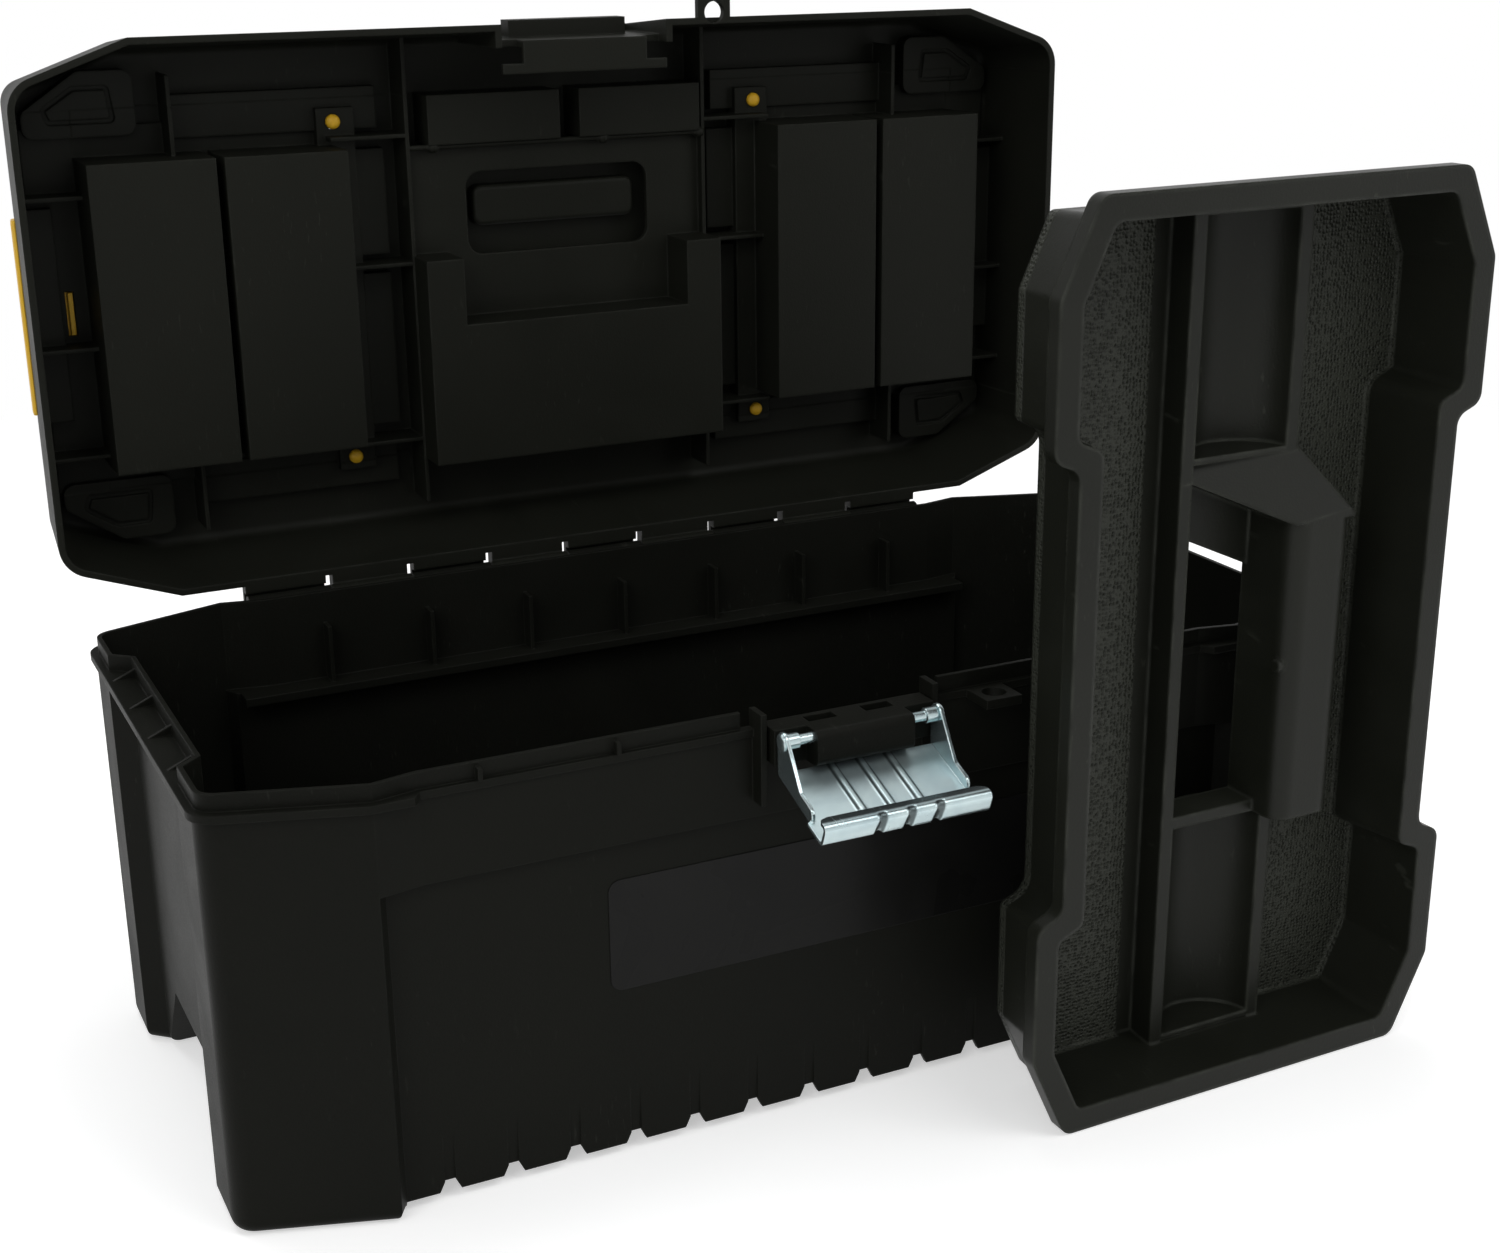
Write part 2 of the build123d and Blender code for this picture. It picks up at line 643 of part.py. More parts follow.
with BuildPart() as lid:
    extrude(lid_plan.sketch, amount=lid_height, taper=lid_draft)
    fillet(lid.faces().sort_by(Axis.Z)[-1].edges(), lid_edge_round)
    add(lid_hollow.part, mode=Mode.SUBTRACT)
    cuts = [block(x_span, y_span, (floor, lid_height), Mode.PRIVATE) for x_span, y_span, floor in wells]
    strike_x = (-strike_half, strike_half)
    cuts.append(block(strike_x, (-lid_depth / 2, -strike_y), (0, strike_rise), Mode.PRIVATE))
    for side in (-1, 1):
        for end in (-1, 1):
            # ring grooves in the corner pads
            ring = corner_pad(pad_ring, ring_round, side, end, pad_groove)
            cuts.append(ring - corner_pad(pad_ring, ring_round, side, end, pad_groove, pad_groove_width))
            # round holes under the hinge eyes of the covers
            peep = (side * cover_axis_x, end * cover_eye_y)
            under = Plane.XY.offset(trough_floor - wall)
            cuts.append(disc(under, peep, cover_peep, wall, Mode.PRIVATE))
            # bearings of the cover pins
            bearing = Plane.XZ.offset(-end * eye_end)
            pin_place = (side * cover_axis_x, axis_height)
            cuts.append(disc(bearing, pin_place, cover_pin_radius + pin_play, -end * wall, Mode.PRIVATE))
        # slit for the snap tab
        tab_in = side * (cover_tab_x - cover_tab_thick / 2 - running_gap)
        tab_out = side * (cover_tab_x + cover_tab_thick / 2 + 2 * running_gap)
        slit_y = (-cover_tab_half - running_gap, cover_tab_half + running_gap)
        cuts.append(block((tab_in, tab_out), slit_y, (bed_floor - wall, bed_floor), Mode.PRIVATE))
        # bearings of the handle
        bearing = Plane.YZ.offset(side * deep_half)
        reach = stub_length - running_gap / 2
        cuts.append(disc(bearing, (0, handle_axis), stub_radius + pin_play, side * reach, Mode.PRIVATE))
    add(cuts, mode=Mode.SUBTRACT)
    # window in the floor of the well
    with BuildSketch(Plane.XY.offset(well_floor)):
        with Locations((0, -(window_front + window_rear) / 2)):
            RectangleRounded(2 * window_half, window_front - window_rear, window_round)
    extrude(amount=wall, mode=Mode.SUBTRACT)
    # strike plate with notched corners, and the keeper above it
    block((-strike_half, strike_half), (-strike_y, strike_depth - strike_y), (0, strike_thick))
    for side in (-1, 1):
        notch_x = (side * (strike_half - strike_notch), side * strike_half)
        block(notch_x, (-strike_y, strike_notch - strike_y), (0, strike_notch_rise), Mode.SUBTRACT)
    block((-keeper_half, keeper_half), (-strike_y - keeper_thick, -strike_y), (keeper_low, keeper_top))
    # padlock eye
    tab_x = (shackle_x - tab_width / 2, shackle_x + tab_width / 2)
    block(tab_x, (-box_depth / 2 - tab_reach, wall - lid_depth / 2), (0, tab_thick))
    disc(Plane.XY, (shackle_x, -shackle_y), shackle_bore / 2, tab_thick, Mode.SUBTRACT)
    # hinge band that covers the knuckles from above, with slots between the lid's own knuckles
    leaf_top = knuckle_radius - hinge_low
    band_low = leaf_top + running_gap
    band_top = band_low + wall
    hinge_x = (-hinge_half, hinge_half)
    band_rear = hinge_y + hinge_cover
    knuckle_front = hinge_y - knuckle_radius - running_gap
    knuckles = [
        block(hinge_x, (lid_rear - wall, knuckle_front), (0, band_top), Mode.PRIVATE),
        block(hinge_x, (lid_rear - wall, band_rear), (band_low, band_top), Mode.PRIVATE),
    ]
    length = hinge_pitch - running_gap
    for i in range(1, hinge_count, 2):
        start = i * hinge_pitch - hinge_half + running_gap / 2
        barrel = Plane.YZ.offset(start)
        knuckles.append(disc(barrel, (hinge_y, -hinge_low), knuckle_radius, length, Mode.PRIVATE))
        leaf_x = (start, start + length)
        knuckles.append(block(leaf_x, (lid_rear - wall, hinge_y), (0, band_low), Mode.PRIVATE))
    add(knuckles)
    barrel = Plane.YZ.offset(-hinge_half)
    play = hinge_pin_radius + pin_play
    bores = [disc(barrel, (hinge_y, -hinge_low), play, 2 * hinge_half, Mode.PRIVATE)]
    for i in range(1, hinge_count):
        x = i * hinge_pitch - hinge_half
        bores.append(block(thin(x, hinge_slot), (lid_rear, band_rear), (0, band_top), Mode.PRIVATE))
    add(bores, mode=Mode.SUBTRACT)


def lid_part(span):
    """The share of the lid inside a box."""
    with BuildPart() as share:
        add(lid.part)
        block(*span, mode=Mode.INTERSECT)
    return share


# The cups of the organizers, the well of the handle and the lid's edges are pieces of their own.
bin_end = bin_inner + 2 * bin_width + bin_groove
well_end = well_half + rib_thin / 2
lid_middle = (-pocket_front, well_rear)
lid_tall = (-hinge_low - knuckle_radius, lid_height)
lid_whole = (-lid_length / 2, lid_length / 2)
shares = {
    "lid_front": (lid_whole, (-box_depth / 2 - tab_reach, -pocket_front), lid_tall),
    "lid_rear": (lid_whole, (well_rear, hinge_y + knuckle_radius), lid_tall),
    "lid_well": ((-well_end, well_end), lid_middle, lid_tall),
}
for side, name in ((-1, "left"), (1, "right")):
    shares["lid_end_" + name] = ((side * bin_end, side * lid_length / 2), lid_middle, lid_tall)
    cups = (side * bin_inner, side * bin_end)
    shares["organizer_" + name] = (cups, (-bin_half, bin_half), (0, bed_floor))
for name, span in shares.items():
    write(lid_part(span), name, lid_frame)
with BuildPart() as lid_shell:
    add(lid.part)
    add([block(*span, Mode.PRIVATE) for span in shares.values()], mode=Mode.SUBTRACT)
write(lid_shell, "lid_shell", lid_frame)

# ---- carry handle, folded into its well ----
grip_half = deep_half - running_gap
arm_inner = ear_inner + wall + running_gap
with BuildPart() as carry_handle:
    bar_low = grip_top - grip_thick
    plate_low = grip_top - plate_thick
    block((-hump_half, hump_half), (-grip_front, grip_width - grip_front), (bar_low, plate_low))
    fillet(carry_handle.edges().filter_by(Axis.Z), grip_round)
    fillet(carry_handle.faces().sort_by(Axis.Z)[0].edges(), grip_round / 2)
    block((-grip_half, grip_half), (-plate_front, -plate_rear), (plate_low, grip_top))
    upright = carry_handle.edges().filter_by(Axis.Z)
    corners = upright.filter_by(lambda edge: abs(edge.center().X) > hump_half)
    fillet(corners.group_by(Axis.Y)[0], plate_round)
    for side in (-1, 1):
        arm_x = (side * arm_inner, side * grip_half)
        block(arm_x, (plate_round - plate_front, 0), (bar_low, grip_top))
        arm_plane = Plane.YZ.offset(side * arm_inner)
        disc(arm_plane, (0, handle_axis), handle_eye, side * (grip_half - arm_inner))
        block(arm_x, (-handle_eye, handle_eye), (handle_axis, grip_top - handle_eye / 2))
    stub = grip_half - arm_inner + running_gap / 2 + stub_length
    for side in (-1, 1):
        disc(Plane.YZ.offset(side * arm_inner), (0, handle_axis), stub_radius, side * stub)
write(carry_handle, "carry_handle", lid_frame)

# ---- organizer covers, closed ----
def cover(side):
    """Cover of one organizer, with hinge eyes, a wing over the lid's end and a snap tab."""
    plate_low = lid_height - cover_thick
    with BuildPart() as piece:
        plate = (side * (bin_inner), side * cover_end)
        block(plate, (-cover_half, cover_half), (plate_low, lid_height))
        wing_y = (-cover_wing_half, cover_wing_half)
        block((side * cover_end, side * cover_wing_end), wing_y, (plate_low, lid_height))
        skirt = (side * (cover_wing_end - cover_thick), side * cover_wing_end)
        block(skirt, wing_y, (lid_height - cover_wing_drop, lid_height))
        outer = piece.edges().filter_by(Axis.Y).group_by(Axis.Z)[-1].sort_by(Axis.X)
        fillet(outer[-1 if side > 0 else 0], cover_round)
        tab = (side * (cover_tab_x - cover_tab_thick / 2), side * (cover_tab_x + cover_tab_thick / 2))
        block(tab, (-cover_tab_half, cover_tab_half), (plate_low - cover_tab_drop, plate_low))
        for end in (-1, 1):
            eye = Plane.XZ.offset(-end * (cover_eye_y - cover_eye_width / 2))
            disc(eye, (side * cover_axis_x, axis_height), cover_eye_radius, -end * cover_eye_width)
            pin = cover_eye_width + running_gap + wall - running_gap / 2
            disc(eye, (side * cover_axis_x, axis_height), cover_pin_radius, -end * pin)
    return piece


write(cover(-1), "organizer_cover_left", lid_frame)
write(cover(1), "organizer_cover_right", lid_frame)

# ---- latch, a folded sheet with two ears ----
with BuildPart() as latch_plate:
    with BuildSketch() as profile:
        with BuildLine():
            FilletPolyline(
                (latch_near, -latch_offset),
                (latch_far, -latch_offset),
                (latch_far, -fold_drop),
                (hook_far, -hook_drop),
                radius=bend_radius,
            )
        trace(line_width=sheet)
    extrude(amount=lip_half, both=True)
    for side in (-1, 1):
        trim = (side * latch_half, side * lip_half)
        block((0, shoulder), (-latch_offset - sheet, 0), trim, Mode.SUBTRACT)
        ear_plane = Plane.XY.offset(side * latch_half)
        low = latch_offset + sheet / 2
        edge = [(distance, -drop) for distance, drop in (ear_mid, ear_far, ear_end)]
        outline = [(-ear_round, 0), (0, ear_round)] + edge + [(shoulder, -low), (latch_near, -low)]
        slab(ear_plane, outline, -side * sheet)
        disc(ear_plane, (0, 0), ear_round, -side * sheet)
        disc(ear_plane, (0, 0), pin_radius + pin_play, -side * sheet, Mode.SUBTRACT)
write(latch_plate, "latch_plate", latch_frame)

with BuildPart() as latch_pivots:
    for side in (-1, 1):
        start = boss_half - pin_depth
        disc(Plane.XY.offset(side * start), (0, 0), pin_radius, side * (latch_half - start))
        disc(Plane.XY.offset(side * latch_half), (0, 0), pin_head_radius, side * pin_head_thick)
write(latch_pivots, "latch_pivots", latch_frame)

# ---- tray ----
def tray_plan(amount, radius):
    """Outline of the tray moved inwards by amount, with rounded corners."""
    with BuildSketch(mode=Mode.PRIVATE) as plan:
        Polygon(
            *four_way(
                [
                    (tray_length / 2, tray_width / 2 - tray_corner_y),
                    (tray_length / 2 - tray_corner_x, tray_width / 2),
                    (waist_half + waist_slope, tray_width / 2),
                    (waist_half, tray_width / 2 - waist_sink),
                ]
            ),
            align=None,
        )
        offset(amount=-amount, kind=Kind.INTERSECTION)
        fillet(plan.vertices(), radius)
    return plan.sketch


spine_y = -spine_x
spine_half = trough_radius + spine_rib
basin_low = -tray_floor - tray_wall
trough_axis = trough_radius - trough_drop
middle = tray_length / 2
with BuildPart() as tray:
    # rim with an outer skirt and a second step inside it
    extrude(tray_plan(0, tray_round), amount=-skirt_drop)
    skirt_hollow = Plane.XY.offset(-skirt_drop) * tray_plan(tray_wall, tray_round - tray_wall / 2)
    extrude(skirt_hollow, amount=skirt_drop - tray_wall, mode=Mode.SUBTRACT)
    with BuildSketch(Plane.XY.offset(-step_drop)):
        add(tray_plan(step_inset, tray_round - tray_wall / 2))
        add(tray_plan(step_inset + tray_wall, tray_round - tray_wall), mode=Mode.SUBTRACT)
    extrude(amount=step_drop - tray_wall)
    extrude(tray_plan(tray_rim - tray_wall, tray_round), amount=basin_low, taper=tray_draft)
    basin = tray_plan(tray_rim, tray_round - tray_wall / 2)
    extrude(basin, amount=-tray_floor, taper=tray_draft, mode=Mode.SUBTRACT)

    # spine: two ribs with a round trough between them at each end
    troughs = ((trough_end, trough_near), (trough_far, tray_length - trough_end))
    spine_end = middle - tray_rim
    for side in (-1, 1):
        near = spine_y + side * trough_radius
        block((-spine_end, spine_end), (near, near + side * spine_rib), (basin_low, -spine_drop))
    for low, high in troughs:
        with BuildSketch(Plane.YZ.offset(low - middle - tray_wall), mode=Mode.PRIVATE) as outer:
            with Locations((spine_y, trough_axis)):
                Circle(trough_radius + tray_wall)
            with Locations((spine_y, spine_half - spine_drop)):
                Rectangle(3 * spine_half, 2 * spine_half, mode=Mode.SUBTRACT)
        extrude(outer.sketch, amount=high - low + 2 * tray_wall)
    for low, high in troughs:
        trough_plane = Plane.YZ.offset(low - middle)
        disc(trough_plane, (spine_y, trough_axis), trough_radius, high - low, Mode.SUBTRACT)

    # window beside the grip, slanted under the ramp
    window_low = tray_window_low - middle
    foot = grip_high - middle
    ramp_edge = [(ramp_left - middle, tray_window_left), (foot, -grip_near)]
    window = [(window_low, -grip_near), (window_low, tray_window_left)]
    window += [(x - tray_window_sill, y) for x, y in ramp_edge]
    slab(Plane.XY.offset(basin_low), window, -spine_drop - basin_low, Mode.SUBTRACT)
    sill = (trough_near - middle, window_low)
    block(sill, (-spine_x - spine_half, tray_window_left), (basin_low, -spine_drop))

    # ramp from the end of the upper trough to the grip, hollow from behind
    for shrink, mode in ((0, Mode.ADD), (grip_wall, Mode.SUBTRACT)):
        with BuildPart(mode=Mode.PRIVATE) as ramp:
            with BuildSketch(Plane.XY.offset(basin_low)) as outline:
                rib_edge = tray_window_left + spine_rib
                ridge = [(trough_far - middle, -spine_x - spine_half), (trough_far - middle, rib_edge)]
                Polygon(*ridge, (ramp_left - middle, rib_edge), *ramp_edge, (foot, -grip_far), align=None)
                if shrink:
                    offset(amount=-shrink, kind=Kind.INTERSECTION)
            extrude(amount=-grip_drop - shrink - basin_low)
            left_end = Vector(ramp_left - middle, rib_edge, -spine_drop - shrink)
            right_end = Vector(ramp_top - middle, -spine_x - spine_half, -spine_drop - shrink)
            low_end = Vector(foot, -grip_near, -grip_drop - shrink)
            face = (left_end - right_end).cross(low_end - right_end)
            slope = Plane(origin=left_end, z_dir=face if face.Z > 0 else -face)
            split(bisect_by=slope, keep=Keep.BOTTOM)
        add(ramp.part, mode=mode)

    # grip, hollow from behind
    for shrink, mode in ((0, Mode.ADD), (grip_wall, Mode.SUBTRACT)):
        with BuildSketch(Plane.YZ.offset(grip_low - middle + shrink), mode=Mode.PRIVATE) as profile:
            right = shrink - grip_far
            left = -grip_near - shrink
            top = -grip_drop - shrink
            Polygon((right, basin_low), (right, top), (left, top), (left, basin_low), align=None)
            fillet(profile.vertices().group_by(Axis.Y)[-1], grip_corner - shrink)
        extrude(profile.sketch, amount=grip_high - grip_low - 2 * shrink, mode=mode)
    knob = (grip_knob - middle, -grip_knob_drop)
    root = grip_wall / 2
    disc(Plane.XZ.offset(grip_near + root), knob, grip_knob_radius, -grip_knob_rise - root)
write(tray, "tray", tray_frame)
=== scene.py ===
import math
import bpy
import bmesh
from mathutils import Matrix, Vector


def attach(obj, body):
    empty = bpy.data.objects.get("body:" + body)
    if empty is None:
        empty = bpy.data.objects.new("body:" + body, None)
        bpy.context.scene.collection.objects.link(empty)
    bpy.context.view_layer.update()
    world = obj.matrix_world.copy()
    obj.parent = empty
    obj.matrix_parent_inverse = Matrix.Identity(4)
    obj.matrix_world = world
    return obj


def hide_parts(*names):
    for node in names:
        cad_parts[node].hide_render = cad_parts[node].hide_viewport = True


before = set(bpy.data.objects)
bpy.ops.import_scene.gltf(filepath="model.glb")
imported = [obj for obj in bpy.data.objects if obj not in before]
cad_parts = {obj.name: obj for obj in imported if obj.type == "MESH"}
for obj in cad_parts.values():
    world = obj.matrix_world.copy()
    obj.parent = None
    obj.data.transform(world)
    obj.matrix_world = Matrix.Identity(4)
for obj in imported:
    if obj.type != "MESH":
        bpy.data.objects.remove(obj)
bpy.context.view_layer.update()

print("toolbox: frame loaded with", len(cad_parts), "nodes")


# small helpers for node trees

def newGroup(name, inputs, outputs):
    group = bpy.data.node_groups.new(name, "ShaderNodeTree")
    for label, kind, value in inputs:
        socket = group.interface.new_socket(name=label, in_out="INPUT", socket_type=kind)
        socket.default_value = value
    for label, kind in outputs:
        group.interface.new_socket(name=label, in_out="OUTPUT", socket_type=kind)
    return group, group.nodes.new("NodeGroupInput").outputs, group.nodes.new("NodeGroupOutput").inputs


def put(tree, kind, links=None, **settings):
    # one node: settings by attribute, inputs by name or number, each a value or a socket
    node = tree.nodes.new(kind)
    for name, value in settings.items():
        setattr(node, name, value)
    for key, value in (links or {}).items():
        if isinstance(value, bpy.types.NodeSocket):
            tree.links.new(value, node.inputs[key])
        else:
            node.inputs[key].default_value = value
    return node


def calc(tree, operation, first, second=0.0, third=0.0):
    return put(tree, "ShaderNodeMath", {0: first, 1: second, 2: third}, operation=operation).outputs[0]


def spread(tree, value, low, high, toLow=0.0, toHigh=1.0):
    links = {"Value": value, "From Min": low, "From Max": high, "To Min": toLow, "To Max": toHigh}
    return put(tree, "ShaderNodeMapRange", links, clamp=True).outputs[0]


def tint(tree, share, first, second):
    return put(tree, "ShaderNodeMix", {0: share, 6: first, 7: second}, data_type="RGBA").outputs[2]


def rgb(red, green, blue):
    return (red, green, blue, 1.0)


# finishes that several materials share

mouldGrain = {
    "cellShare": 0.75,  # scale of the cells against that of the noise
    "cellRise": 0.6,
    "tone": (0.3, 0.7),
}
handling = {
    "smudge": (0.35, 0.7),
    "scratchTurn": (0.3, 0.5, 0.7),
    "scratchStretch": (14, 1, 3),
    "scratchScale": 60.0,  # per metre, as the other scales
    "scratch": (0.66, 0.72),
    "patchScale": 30.0,
    "patch": (0.5, 0.65),
}
# edge mask: the edges it finds are painted lighter, a painted highlight along rounded edges with some wear
edgeRubAndHighlight = {
    "bend": (0.99, 0.8),  # cosine between the rounded and the flat surface, from smooth to sharp
    "patchScale": 90.0,
    "patch": (0.35, 0.65),
    "least": 0.2,
}


def makeMouldGrain(look):
    group, given, result = newGroup(
        "mouldGrain",
        [("Vector", "NodeSocketVector", (0, 0, 0)), ("Scale", "NodeSocketFloat", 1500.0)],
        [("Height", "NodeSocketFloat"), ("Tone", "NodeSocketFloat")],
    )
    fine = put(group, "ShaderNodeTexNoise", {"Vector": given["Vector"], "Scale": given["Scale"], "Detail": 1.0})
    cellScale = calc(group, "MULTIPLY", given["Scale"], look["cellShare"])
    cells = put(group, "ShaderNodeTexVoronoi", {"Vector": given["Vector"], "Scale": cellScale}, feature="F1")
    height = calc(group, "MULTIPLY_ADD", cells.outputs["Distance"], look["cellRise"], fine.outputs["Fac"])
    group.links.new(height, result["Height"])
    group.links.new(spread(group, fine.outputs["Fac"], *look["tone"]), result["Tone"])
    return group


def makeHandling(look):
    group, given, result = newGroup(
        "handling",
        [("Vector", "NodeSocketVector", (0, 0, 0)), ("Scale", "NodeSocketFloat", 14.0)],
        [("Smudge", "NodeSocketFloat"), ("Scuff", "NodeSocketFloat")],
    )
    place = given["Vector"]
    clouds = {"Vector": place, "Scale": given["Scale"], "Detail": 3.0, "Roughness": 0.6, "Distortion": 0.7}
    cloud = put(group, "ShaderNodeTexNoise", clouds)
    group.links.new(spread(group, cloud.outputs["Fac"], *look["smudge"]), result["Smudge"])
    turn = {"Vector": place, "Rotation": look["scratchTurn"], "Scale": look["scratchStretch"]}
    drawn = put(group, "ShaderNodeMapping", turn).outputs[0]
    lines = put(group, "ShaderNodeTexNoise", {"Vector": drawn, "Scale": look["scratchScale"], "Detail": 2.0})
    thin = spread(group, lines.outputs["Fac"], *look["scratch"])
    patch = put(group, "ShaderNodeTexNoise", {"Vector": place, "Scale": look["patchScale"], "Detail": 1.0})
    here = spread(group, patch.outputs["Fac"], *look["patch"])
    group.links.new(calc(group, "MULTIPLY", thin, here), result["Scuff"])
    return group


def makeEdgeRubAndHighlight(look):
    group, given, result = newGroup(
        "edgeRubAndHighlight",
        [("Vector", "NodeSocketVector", (0, 0, 0)), ("Reach", "NodeSocketFloat", 0.0006)],
        [("Mask", "NodeSocketFloat"), ("Normal", "NodeSocketVector")],
    )
    rounded = put(group, "ShaderNodeBevel", {"Radius": given["Reach"]}, samples=3).outputs[0]
    flat = put(group, "ShaderNodeNewGeometry").outputs["Normal"]
    facing = put(group, "ShaderNodeVectorMath", {0: rounded, 1: flat}, operation="DOT_PRODUCT")
    # edges show where the rounded normal turns from the flat one; this mask drives painted edge highlight and
    # wear
    edge = spread(group, facing.outputs["Value"], *look["bend"])
    place = given["Vector"]
    patch = put(group, "ShaderNodeTexNoise", {"Vector": place, "Scale": look["patchScale"], "Detail": 2.0})
    here = spread(group, patch.outputs["Fac"], *look["patch"], look["least"])
    group.links.new(calc(group, "MULTIPLY", edge, here), result["Mask"])
    group.links.new(rounded, result["Normal"])
    return group


shared = {"grain": makeMouldGrain(mouldGrain), "handling": makeHandling(handling), "edge": makeEdgeRubAndHighlight(edgeRubAndHighlight)}


def useGroup(tree, name, links):
    return put(tree, "ShaderNodeGroup", links, node_tree=shared[name]).outputs


def newMaterial(name):
    material = bpy.data.materials.new(name)
    material.use_nodes = True
    tree = material.node_tree
    shader = tree.nodes["Principled BSDF"]
    place = tree.nodes.new("ShaderNodeTexCoord").outputs["Object"]
    return material, tree, shader, place


def layered(tree, colour, layers):
    # each layer is a mask, its strength and its colour
    for mask, strength, top in layers:
        colour = tint(tree, calc(tree, "MULTIPLY", mask, strength), colour, rgb(*top))
    return colour


def bumped(tree, shader, strength, distance, height, normal):
    links = {"Strength": strength, "Distance": distance, "Height": height, "Normal": normal}
    tree.links.new(put(tree, "ShaderNodeBump", links).outputs[0], shader.inputs["Normal"])


def mouldedPlastic(name, look, floorPattern=None):
    material, tree, shader, place = newMaterial(name)
    grain = useGroup(tree, "grain", {"Vector": place, "Scale": look["grainScale"]})
    marks = useGroup(tree, "handling", {"Vector": place, "Scale": look["markScale"]})
    edge = useGroup(tree, "edge", {"Vector": place, "Reach": look["edgeReach"]})
    # lighter colour along edges is painted highlight and wear; scuffs in the same colour are real wear
    wearAndHighlight = look["wearAndHighlightColour"]
    layers = [
        (grain["Tone"], look["grainTone"], look["grainColour"]), (edge["Mask"], look["edgeHighlightAndWear"], wearAndHighlight),
        (marks["Scuff"], look["scuff"], wearAndHighlight),
    ]
    height = grain["Height"]
    if floorPattern:
        gaps = floorPattern(tree, place)
        # the raised ridges between pebbles are also painted paler, a painted highlight
        layers.append((gaps, pebbles["ridgeHighlight"], wearAndHighlight))
        height = calc(tree, "MULTIPLY_ADD", gaps, pebbles["rise"], height)
    colour = tint(tree, marks["Smudge"], rgb(*look["colour"]), rgb(*look["cloudColour"]))
    tree.links.new(layered(tree, colour, layers), shader.inputs["Base Color"])
    rough = calc(tree, "MULTIPLY_ADD", marks["Smudge"], look["smudgeRough"], look["rough"])
    rough = calc(tree, "MULTIPLY_ADD", grain["Tone"], look["grainRough"], rough)
    rough = calc(tree, "MULTIPLY_ADD", edge["Mask"], -look["edgePolish"], rough)
    tree.links.new(rough, shader.inputs["Roughness"])
    bumped(tree, shader, look["bump"], look["grainDepth"], height, edge["Normal"])
    shader.inputs["Specular IOR Level"].default_value = look["gloss"]
    return material


boxPlastic = {
    "colour": (0.0052, 0.0055, 0.0042),
    "cloudColour": (0.0068, 0.0071, 0.0055),
    "grainColour": (0.0125, 0.0130, 0.0105),
    "wearAndHighlightColour": (0.046, 0.048, 0.040),
    "grainTone": 0.25,
    "grainScale": 1700.0,  # cells per metre
    "grainDepth": 0.00006,
    "bump": 0.6,
    "markScale": 16.0,
    "rough": 0.42,
    "smudgeRough": 0.10,
    "grainRough": 0.06,
    "edgeReach": 0.0006,
    "edgeHighlightAndWear": 0.35,
    "edgePolish": 0.08,
    "scuff": 0.25,
    "gloss": 0.06,
}
lidPlastic = dict(
    boxPlastic, colour=(0.0080, 0.0086, 0.0062), cloudColour=(0.0102, 0.0108, 0.0080), gloss=0.09,
    edgeReach=0.0010, edgeHighlightAndWear=0.55,
)
trayPlastic = dict(
    boxPlastic, colour=(0.0080, 0.0088, 0.0062), cloudColour=(0.0104, 0.0113, 0.0082), rough=0.32, gloss=0.17,
    # the tray's strongly lightened edges are painted highlight
    edgeReach=0.0018, edgeHighlightAndWear=0.95, wearAndHighlightColour=(0.070, 0.075, 0.060), grainColour=(0.0150, 0.0160, 0.0120),
)
yellowPlastic = dict(
    boxPlastic, colour=(0.80, 0.47, 0.02), cloudColour=(0.74, 0.42, 0.018), grainColour=(0.84, 0.52, 0.03),
    wearAndHighlightColour=(0.9, 0.68, 0.2), rough=0.38, gloss=0.4, scuff=0.1,
)

pebbles = {
    "scale": 760.0,  # pebbles per metre
    "rise": 10.0,  # in grain depths
    # share of painted highlight on the ridges between pebbles
    "ridgeHighlight": 0.36,
    "outside": 0.026,  # the side floors start this far from the middle
    "standX": 0.1226,  # foot of the tray's own axes
    "standY": -0.1428,
    "turn": math.radians(1.3),
    "floor": 0.0315,  # depth of the floor behind the tray's foot line
    "slack": 0.0012,
    "disorder": 0.5,
    "gap": (0.15, 0.6),  # from a pebble's middle to the gap beside it
}


def pebbledFloor(tree, place):
    # depth below the rim picks out the floor of the side compartments
    stand = (pebbles["standX"], pebbles["standY"], 0)
    turn = {"Vector": place, "Location": stand, "Rotation": (0, 0, pebbles["turn"])}
    own = put(tree, "ShaderNodeMapping", turn, vector_type="TEXTURE").outputs[0]
    along = put(tree, "ShaderNodeSeparateXYZ", {0: own}).outputs
    floor, slack = pebbles["floor"], pebbles["slack"]
    low = spread(tree, along["Y"], floor - 2 * slack, floor - slack)
    high = spread(tree, along["Y"], floor + 2 * slack, floor + slack)
    beside = calc(tree, "GREATER_THAN", calc(tree, "ABSOLUTE", along["X"]), pebbles["outside"])
    cells = {"Vector": own, "Scale": pebbles["scale"], "Randomness": pebbles["disorder"]}
    stones = put(tree, "ShaderNodeTexVoronoi", cells)
    here = calc(tree, "MULTIPLY", beside, calc(tree, "MULTIPLY", low, high))
    return calc(tree, "MULTIPLY", here, spread(tree, stones.outputs["Distance"], *pebbles["gap"]))


zincLook = {
    "colour": (0.56, 0.67, 0.68),
    "cloudColour": (0.44, 0.55, 0.58),
    # pale colour laid along the edges: painted highlight with some wear
    "wearAndHighlightColour": (0.88, 0.92, 0.93),
    # painted shade on the rib flanks and on the hook
    "paintedShadeColour": (0.022, 0.028, 0.028),
    "creaseShade": 0.85,
    "metal": 0.93,
    "rough": 0.15,
    "streakRough": 0.12,
    "hazeRough": 0.2,
    "scuffRough": 0.15,
    "markScale": 60.0,
    "streakScale": 300.0,
    "streakStretch": (0.04, 1, 1),
    "edgeReach": 0.0004,
    "edgeHighlightAndWear": 0.6,
    "bump": 0.5,
    "depth": 0.00002,
}
rodLook = dict(zincLook, colour=(0.5, 0.5, 0.5), cloudColour=(0.4, 0.4, 0.4), rough=0.3)


